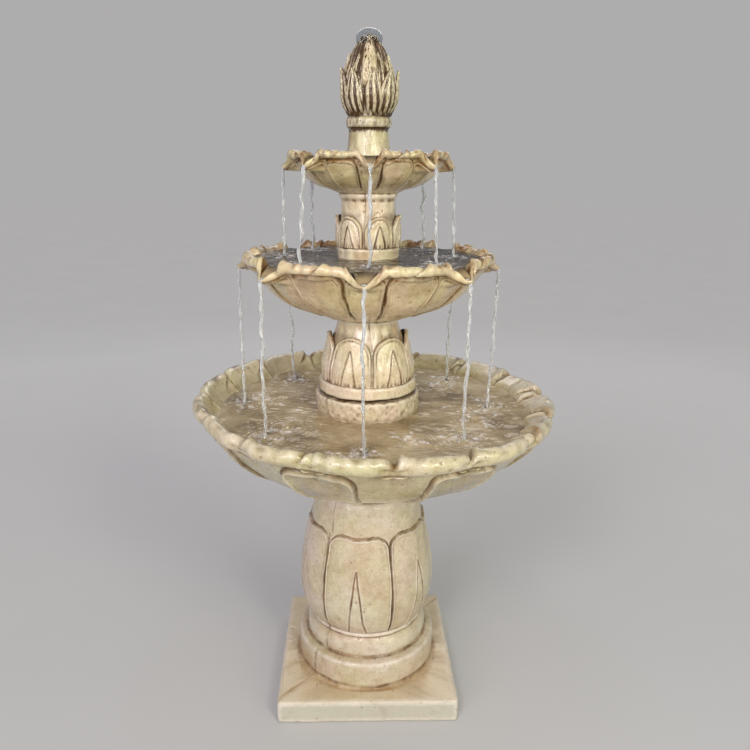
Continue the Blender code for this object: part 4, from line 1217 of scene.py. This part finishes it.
def pool(
    name, body, finish, level, landings, *, inner, outer, rows, columns, seed, wave, bubbles,
    spout=None, first=0.0, offset=0.0,
):
    """A sheet of rippling water round a column, with rings and foam where streams land.

    With a spout, the sheet also runs out through each spout and bends over its lip.
    """
    depth = 0.006
    line = spaced(np.array([(outer, level), (inner, level)], float), rows)
    line = np.vstack([[outer, level - depth], line, [inner, level - depth]])
    theta = gathered(columns, SPOUTS, first, -0.55)[:, None]
    radius, height = np.broadcast_to(line[None, :, 0], (columns, rows + 2)).copy(), line[None, :, 1]
    sink = np.zeros_like(radius)
    if spout:
        # the sheet reaches out to each lip, and sinks to it
        period = TAU / SPOUTS
        angle = ((theta - first) / period + 0.5) % 1.0 * period - period / 2
        lip = spout["middle"] + spout["reach"] - 0.010
        floor = spout["rim"] - spout["drop"] + 0.0025
        open_here = smooth_step(-np.abs(angle), -math.radians(5.0), -math.radians(2.2))
        share = smooth_step(radius, outer - 0.030, outer)
        radius += (lip - outer) * open_here * share
        sink = (level - floor) * smooth_step(radius, outer - 0.016, lip) * open_here
    x, y = radius * np.sin(theta), -radius * np.cos(theta)
    x = x + offset * smooth_step(radius, inner + 0.02, outer)
    # ripples that cross the pool in all directions
    rng = np.random.default_rng(seed)
    lift = np.zeros_like(x)
    for _ in range(60):
        angle = rng.uniform(0, TAU)
        rate = TAU / rng.uniform(0.016, 0.095)
        ahead = x * math.cos(angle) + y * math.sin(angle)
        lift += (9.0 / rate) ** 0.5 * np.sin(rate * ahead + rng.uniform(0, TAU))
    lift *= wave * 0.26
    # rings round each landing, and streaks of foam near it
    foam = np.zeros_like(x)
    for px, py in landings:
        gap = np.hypot(x - px, y - py)
        length = rng.uniform(0.010, 0.015)
        rings = np.cos(TAU * gap / length + rng.uniform(0, TAU)) * np.exp(-gap / 0.028)
        lift += wave * 1.6 * rings - 0.003 * bell(gap, 0.006)
        for _ in range(16):
            ox, oy = rng.normal(0, 0.024, 2)
            tilt = rng.uniform(0, TAU)
            along = (x - px - ox) * math.cos(tilt) + (y - py - oy) * math.sin(tilt)
            aside = (y - py - oy) * math.cos(tilt) - (x - px - ox) * math.sin(tilt)
            wide = rng.uniform(0.0025, 0.0065)
            patch = np.exp(-((along / (2.2 * wide)) ** 2) - (aside / wide) ** 2)
            foam = np.maximum(foam, rng.uniform(0.45, 1.0) * patch)
            lift += 0.0022 * rng.uniform(-0.2, 1.0) * patch
    # single bubbles anywhere
    for _ in range(bubbles):
        far, turn = rng.uniform(inner, outer), rng.uniform(0, TAU)
        gap = np.hypot(x - far * math.sin(turn), y + far * math.cos(turn))
        wide = rng.uniform(0.0022, 0.0050)
        foam = np.maximum(foam, rng.uniform(0.4, 1.0) * bell(gap, wide))
        lift += rng.uniform(0.0, 0.0026) * bell(gap, wide)
    # the first and last rows are the edges of the sheet's flat underside
    surface = np.zeros_like(x)
    surface[:, 1:-1] = 1.0
    shallow = smooth_step(sink, 0.0, 0.016)
    calm = 1 - 0.75 * shallow
    points = np.stack([x, y, height - sink + lift * surface * calm], -1)
    made = grid_object(name, points, True, {"foam": np.clip(foam * surface, 0, 1), "shallow": shallow})
    finished(made, finish, body, "water")


def strand(path, radius, offset, phase, seed, aside):
    """A wavering thread of water wound round a path, spread flat where it leaves the lip."""
    rng = np.random.default_rng(seed)
    steps = len(path)
    s = np.linspace(0, 1, steps)
    length = float(np.sum(np.linalg.norm(np.diff(path, axis=0), axis=1)))
    turn = phase + TAU * length / 0.090 * s + 0.8 * np.sin(TAU * 3 * s + rng.uniform(0, TAU))
    swell = 1.0
    for _ in range(9):
        swell = swell + 0.13 * np.sin(TAU * length / rng.uniform(0.012, 0.090) * s + rng.uniform(0, TAU))
    swell = np.clip(swell, 0.35, 1.8)
    spread = 1 + 0.8 * np.exp(-s * length / 0.045)
    centre = path + np.stack([offset * np.cos(turn), offset * np.sin(turn), 0 * s], -1)
    wide = radius * swell * spread * (0.80 + 0.20 * np.clip(1 - s, 0, 1))
    deep = radius * swell * (0.75 + 0.25 * smooth_step(s * length, 0.0, 0.03))
    sides = np.arange(10) * TAU / 10
    forward = np.array([aside[1], -aside[0], 0.0])
    section = np.cos(sides)[:, None, None] * wide[None, :, None] * aside
    section = section + np.sin(sides)[:, None, None] * deep[None, :, None] * forward
    points = centre[None] + section
    return points[::-1]


def stream(name, azimuth, spout, floor, drift, finish, seed, thick):
    """Water that slips over a spout's lip and falls in a braided thread."""
    rng = np.random.default_rng(seed)
    lip_radius = spout["middle"] + spout["reach"] - 0.0030
    lip_height = spout["rim"] - spout["drop"] + 0.0010
    ahead = np.array([math.sin(azimuth), -math.cos(azimuth), 0.0])
    aside = np.array([math.cos(azimuth), math.sin(azimuth), 0.0])
    fall = lip_height - floor
    steps = int(fall / 0.0014)
    s = np.linspace(0, 1, steps)
    path = ahead * (lip_radius + 0.007 * np.sqrt(s))[:, None]
    path[:, 2] = lip_height - fall * s
    path[:, 0] += drift[0] * s ** 1.2
    path[:, 1] += drift[1] * s ** 1.2
    for _ in range(4):
        rate = rng.uniform(1.0, 5.0)
        shift = 0.0017 * np.sin(TAU * rate * s + rng.uniform(0, TAU)) * smooth_step(s, 0.02, 0.35)
        path = path + aside * shift[:, None]
    parts = []
    inward = np.linspace(1, 0, 26)[:-1, None]
    trickle = path[0] - ahead * 0.034 * inward
    trickle[:, 2] = lip_height + 0.0045 * np.minimum(1, 3 * inward[:, 0])
    path = np.vstack([trickle, path])
    # each thread's thickness, and how far it winds round the stream's own line
    threads = ((1.0, 0.15), (0.62, 0.95), (0.50, 1.1))
    for index, (share, wound) in enumerate(threads):
        phase = TAU * index / 2 + seed
        points = strand(path, thick * share, wound * thick, phase, seed * 7 + index, aside)
        parts.append(grid_object(f"{name}_{index}", points, False))
    made = joined(name, parts)
    made.data.materials.append(finish)
    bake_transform(made)
    return float(path[-1][0]), float(path[-1][1])


def splash(x, y, z, height, width, seed):
    """A small spurt of water thrown up where a stream lands."""
    rng = np.random.default_rng(seed)
    s = np.linspace(0, 1, 16)
    profile = np.interp(s, (0, 0.15, 0.45, 0.7, 0.88, 1), (1.7, 1.0, 0.55, 0.62, 0.5, 0.08))
    sides = np.arange(10) * TAU / 10
    lumps = 1 + 0.25 * np.sin(3 * sides[:, None] + 9 * s[None] + rng.uniform(0, TAU))
    lean_x, lean_y = rng.normal(0, 0.25, 2) * height
    radius = width * profile[None] * lumps
    px = x + radius * np.cos(sides)[:, None] + lean_x * s[None] ** 2
    py = y + radius * np.sin(sides)[:, None] + lean_y * s[None] ** 2
    pz = np.broadcast_to(z - 0.002 + height * s[None], px.shape)
    return grid_object("splash_part", np.stack([px, py, pz], -1), False)


def droplets(name, body, spots, finish, *, seed, size, rise, count):
    """Spurts and thrown drops where each stream lands; size is the smallest and largest radius."""
    rng = np.random.default_rng(seed)
    parts = []
    for x, y, z in spots:
        for _ in range(3):
            ox, oy = rng.normal(0, 0.010, 2)
            height, width = rise * rng.uniform(0.35, 1.0), size[1] * rng.uniform(0.6, 1.1)
            parts.append(splash(x + ox, y + oy, z, height, width, rng.integers(999)))
    bm = bmesh.new()
    for x, y, z in spots:
        for _ in range(count):
            radius = rng.uniform(*size)
            away = rng.uniform(0.003, 0.030)
            angle = rng.uniform(0, TAU)
            out_x, out_y = away * math.cos(angle), away * math.sin(angle)
            centre = Vector((x + out_x, y + out_y, z + rng.uniform(0.0, rise)))
            made = bmesh.ops.create_icosphere(bm, subdivisions=2, radius=radius)
            stretch = rng.uniform(0.9, 1.7)
            for vert in made["verts"]:
                wobble = 1 + 0.16 * math.sin(900 * vert.co.x + 5 * angle) + 0.12 * math.cos(800 * vert.co.y)
                vert.co = Vector((vert.co.x * wobble, vert.co.y * wobble, vert.co.z * stretch)) + centre
    mesh = bpy.data.meshes.new("drops")
    bm.to_mesh(mesh)
    bm.free()
    drops = bpy.data.objects.new("drops", mesh)
    bpy.context.collection.objects.link(drops)
    made = joined(name, parts + [drops])
    finished(made, finish, body, "water")


def make_dome(finish):
    """The bubble of water that wells over the bud's tip, open underneath with a ragged hem."""
    outer = millimetres([
        (0.6, 1686.2), (6, 1686.6), (12, 1685.8), (19, 1683.2), (25, 1678.5), (28.8, 1672), (30, 1665),
        (29.6, 1659), (28.5, 1654.5),
    ])
    inner = [(r - 0.0012 if r > 0.002 else r, z - 0.0013) for r, z in outer]
    section = softened(list(reversed(outer)), 2)
    under = softened(inner, 2)
    line = np.vstack([section, under])
    theta = (np.arange(96) * TAU / 96)[:, None]
    radius, height = line[None, :, 0], line[None, :, 1]
    hem = smooth_step(-height, -1.668, -1.656)
    ripple = harmonics(theta, height, 61, (2, 6), 40.0)
    r = radius * (1 + 0.012 * ripple)
    z = height - 0.0050 * hem * np.clip(harmonics(theta, 0 * height, 62, (4, 12), 0.0), -1, 1.5)
    made = grid_object("water_dome", around(r, theta, z), False)
    finished(made, finish, "finial", "water")


def still_water(name):
    """Smooth clear water with only the faintest ripple."""
    n = Nodes(name)
    swirl = n.noise(60.0, 2.0, 0.5)
    colour = n.ramp(swirl, (0.4, (0.90, 0.92, 0.93)), (0.6, (0.97, 0.98, 0.99)))
    return n.done(colour, 0.02, n.bump(swirl, 0.0015, 0.3), ior=1.33, transmission_weight=1.0)


def make_water():
    """Three pools, sixteen streams, their splashes and the dome on the finial."""
    basin = pool_water("water_basin", (0.215, 0.155, 0.078), (0.425, 0.330, 0.190), (0.57, 0.47, 0.31), 0.5)
    # painted reflection: the bowls' water colours are near-black, standing in for the dark surroundings the
    # water reflects
    bowl = pool_water("water_bowl", (0.030, 0.022, 0.014), (0.085, 0.064, 0.042), (0.21, 0.17, 0.125), 0.17)
    falling = falling_water("water_falling", 0.70)
    clear = falling_water("water_clear", 0.97, (0.97, 0.98, 0.98))

    def ring(tier, first, spout, below, level, drifts, seed, thick):
        """The streams from one bowl's spouts, and where they land; drifts are in millimetres."""
        spots = []
        for index, (dx, dy) in enumerate(drifts):
            azimuth = first + TAU * index / SPOUTS
            spot = stream(
                f"stream_{tier}_{index + 1}", azimuth, spout, level - 0.004, (dx * MM, dy * MM),
                falling, seed + index, thick,
            )
            spots.append(spot)
        return spots

    drifts = ((0, 0), (-6, 0), (-14, 2), (-4, 3), (3, 2), (8, 0), (4, 0), (2, -3))
    middle_spots = ring("middle", MIDDLE_FIRST, MIDDLE_SPOUT, "basin", BASIN_WATER, drifts, 200, 0.0030)
    drifts = ((0, 0), (3, 0), (2, 2), (2, 0), (0, 2), (3, 0), (4, 0), (-9, 0))
    upper_spots = ring("upper", UPPER_FIRST, UPPER_SPOUT, "middle_tier", MIDDLE_WATER, drifts, 300, 0.0029)
    # rings and foam where nothing falls
    stray = [(0.10, -0.24), (-0.19, -0.16), (0.27, -0.10), (-0.28, 0.06), (0.21, 0.19), (-0.06, -0.33)]
    pool(
        "pool_basin", "basin", basin, BASIN_WATER, middle_spots + stray, inner=0.1300, outer=0.4180,
        rows=170, columns=900, seed=71, wave=0.0016, bubbles=90, offset=BASIN_OFFSET,
    )
    pool(
        "pool_middle", "middle_tier", bowl, MIDDLE_WATER, upper_spots, inner=0.0735, outer=0.2790,
        rows=110, columns=560, seed=72, wave=0.0012, bubbles=40, spout=MIDDLE_SPOUT, first=MIDDLE_FIRST,
    )
    pool(
        "pool_upper", "upper_tier", bowl, UPPER_WATER, [], inner=0.0495, outer=0.1700,
        rows=70, columns=400, seed=73, wave=0.0009, bubbles=40, spout=UPPER_SPOUT, first=UPPER_FIRST,
    )
    landed = [(x, y, BASIN_WATER) for x, y in middle_spots]
    droplets("splashes_basin", "basin", landed, clear, seed=81, size=(0.0010, 0.0030), rise=0.022, count=9)
    landed = [(x, y, MIDDLE_WATER) for x, y in upper_spots]
    droplets(
        "splashes_middle", "middle_tier", landed, clear, seed=82, size=(0.0008, 0.0022), rise=0.014, count=7
    )
    make_dome(still_water("water_dome"))


# ---------------------------------------------------------------- parts kept from the CAD


def finish_fittings():
    """Procedural materials for the pump, pipes and seals."""
    finishes = {
        "black_plastic": moulded("pump_plastic", (0.055, 0.060, 0.065), (0.030, 0.032, 0.035), 0.42),
        "black_rubber": moulded(
            "seal_rubber", (0.045, 0.045, 0.046), (0.020, 0.020, 0.021), 0.68, 500.0, 0.0002
        ),
        "clear_vinyl": moulded("hose_vinyl", (0.70, 0.72, 0.68), (0.50, 0.52, 0.48), 0.22, 300.0, 0.0001),
        "grey_pvc": moulded("riser_plastic", (0.48, 0.49, 0.50), (0.38, 0.39, 0.40), 0.40),
        "white_plastic": moulded("rotor_plastic", (0.74, 0.73, 0.70), (0.60, 0.58, 0.54), 0.38),
        "blue_plastic": moulded("dial_plastic", (0.05, 0.17, 0.42), (0.03, 0.11, 0.30), 0.34),
        "shim_plastic": moulded("shim_plastic", (0.42, 0.41, 0.36), (0.26, 0.25, 0.21), 0.5),
        "ceramic_shaft": moulded(
            "shaft_ceramic", (0.88, 0.87, 0.84), (0.78, 0.76, 0.72), 0.16, 1200.0, 0.00003
        ),
        "brass": worked_metal("jet_brass", (0.72, 0.53, 0.24), (0.42, 0.30, 0.14), 0.26),
        "stainless_steel": worked_metal("clamp_steel", (0.62, 0.62, 0.61), (0.46, 0.46, 0.45), 0.24),
    }
    for entry in frame["record"]["subparts"]:
        finish = finishes.get(entry["material_slot"])
        if finish is None:
            continue
        node = frame["nodes"][entry["node"]]
        for slot in node.material_slots:
            slot.material = finish


# ---------------------------------------------------------------- stage


def lamp(name, kind, place, energy, colour):
    """A light aimed at the fountain's middle."""
    light = bpy.data.lights.new(name, kind)
    light.energy = energy
    light.color = colour
    made = bpy.data.objects.new(name, light)
    made.location = place
    aim = Vector((0, 0, LIT_HEIGHT)) - Vector(place)
    made.rotation_euler = aim.to_track_quat("-Z", "Y").to_euler()
    bpy.context.collection.objects.link(made)
    return light


def make_stage():
    """A pale floor with painted shade that darkens its middle, a grey background and soft studio lights."""
    bpy.ops.mesh.primitive_circle_add(
        vertices=128, radius=FLOOR_RADIUS, fill_type="NGON", location=(0, 0, -FLOOR_GAP)
    )
    floor = bpy.context.object
    floor.name = "studio_floor"
    n = Nodes("studio_floor")
    cloud = n.noise(1.6, 3.0, 0.5)
    colour = n.ramp(cloud, (0.3, (0.86, 0.86, 0.875)), (0.7, (0.88, 0.88, 0.895)))
    # painted shade: the floor is darker towards its middle, to even out the lamps' light on it
    away = n.add("ShaderNodeVectorMath", operation="LENGTH")
    n.link(n.place, away.inputs[0])
    near = n.math("MULTIPLY", away.outputs["Value"], 0.16)
    painted_middle_shade = n.ramp(near, (0.10, (0.70, 0.70, 0.70)), (0.62, (1.0, 1.0, 1.0)))
    colour = n.mix(1.0, colour, painted_middle_shade, "MULTIPLY")
    floor.data.materials.append(n.done(colour, 0.9, specular_ior_level=0.0))

    world = bpy.data.worlds.new("studio")
    bpy.context.scene.world = world
    world.use_nodes = True
    tree = world.node_tree
    background = tree.nodes["Background"]
    background.inputs["Color"].default_value = (0.80, 0.81, 0.84, 1.0)
    background.inputs["Strength"].default_value = 0.33
    # the camera sees the far floor's own grey, so that no horizon shows
    seen = tree.nodes.new("ShaderNodeBackground")
    seen.inputs["Color"].default_value = (0.425, 0.4185, 0.4175, 1.0)
    path = tree.nodes.new("ShaderNodeLightPath")
    mix = tree.nodes.new("ShaderNodeMixShader")
    tree.links.new(path.outputs["Is Camera Ray"], mix.inputs["Fac"])
    tree.links.new(background.outputs["Background"], mix.inputs[1])
    tree.links.new(seen.outputs["Background"], mix.inputs[2])
    tree.links.new(mix.outputs["Shader"], tree.nodes["World Output"].inputs["Surface"])

    # broad suns: name, direction it comes from, strength, colour and angle across in degrees
    suns = (
        ("soft_sun_left", (-2.6, -3.6, 2.35), 0.80, (1.0, 0.890, 0.93), 30),
        ("soft_sun_right", (2.8, -3.0, 2.00), 0.74, (1.0, 0.985, 0.68), 30),
        ("soft_sun_low", (0.1, -4.0, 0.95), 0.36, (1.0, 0.96, 0.90), 40),
        ("soft_sun_high", (0.2, -0.9, 6.0), 0.22, (1.0, 0.97, 0.93), 50),
    )
    for name, place, energy, colour, across in suns:
        lamp(name, "SUN", place, energy, colour).angle = math.radians(across)
    # panels: name, place, strength, colour, width and height
    panels = (
        ("key_light", (-0.65, -2.25, 2.15), 20, (1.0, 0.95, 0.97), 0.5, 0.9),
        ("fill_light", (0.95, -2.1, 2.0), 16, (1.0, 0.98, 0.86), 0.45, 0.9),
        ("back_light", (0.3, 2.6, 2.9), 18, (1.0, 0.97, 0.98), 2.4, 1.0),
    )
    for name, place, energy, colour, width, height in panels:
        panel = lamp(name, "AREA", place, energy, colour)
        panel.shape = "RECTANGLE"
        panel.size = width
        panel.size_y = height
    # the back light would show as a white ring in the clear dome
    bpy.data.objects["back_light"].visible_transmission = False


def make_camera():
    """Looks down on the fountain from in front, a little above the middle bowl."""
    data = bpy.data.cameras.new("camera")
    data.sensor_width = 36.0
    data.lens = 32.83
    data.shift_x = 0.0100
    data.clip_end = 100.0
    camera = bpy.data.objects.new("camera", data)
    camera.location = (0.0, -1.688, 1.382)
    looking_down = 0.2908
    pitch = Matrix.Rotation(math.pi / 2 - looking_down, 3, "X")
    roll = Matrix.Rotation(math.radians(0.3), 3, "Z")
    camera.rotation_euler = (pitch @ roll).to_euler()
    bpy.context.collection.objects.link(camera)
    bpy.context.scene.camera = camera
    bpy.context.scene.view_settings.view_transform = "Standard"


make_stage()
make_camera()
make_pedestal()
make_basin()
make_pump_cover()
make_column(
    "middle_column", "middle_tier", MIDDLE_COLUMN, first=math.radians(-24), low=0.8782, high=0.9955,
    half=math.radians(29.3), arch=(0.58, 2.2), flare=0.0105, apex=0.9640, spread=0.0205,
    seed=51, columns=420,
)
make_bowl(
    "middle_bowl", "middle_tier", MIDDLE_BOWL, MIDDLE_FIRST, MIDDLE_SPOUT, low=1.0420, petal_top=1.1705,
    corner=0.034, water=MIDDLE_WATER, size=1.0, bare=0.45, seed=52, columns=960, rows=165,
)
make_column(
    "upper_column", "upper_tier", UPPER_COLUMN, first=math.radians(-39), low=1.2066, high=1.2810,
    half=math.radians(29.0), arch=(0.42, 2.0), flare=0.0075, apex=1.2560, spread=0.0125,
    seed=53, columns=360,
)
make_bowl(
    "upper_bowl", "upper_tier", UPPER_BOWL, UPPER_FIRST, UPPER_SPOUT, low=1.3380, petal_top=1.4065,
    corner=0.024, water=UPPER_WATER, size=0.75, bare=0.1, seed=54, columns=800, rows=150,
)
make_finial()
make_water()
finish_fittings()
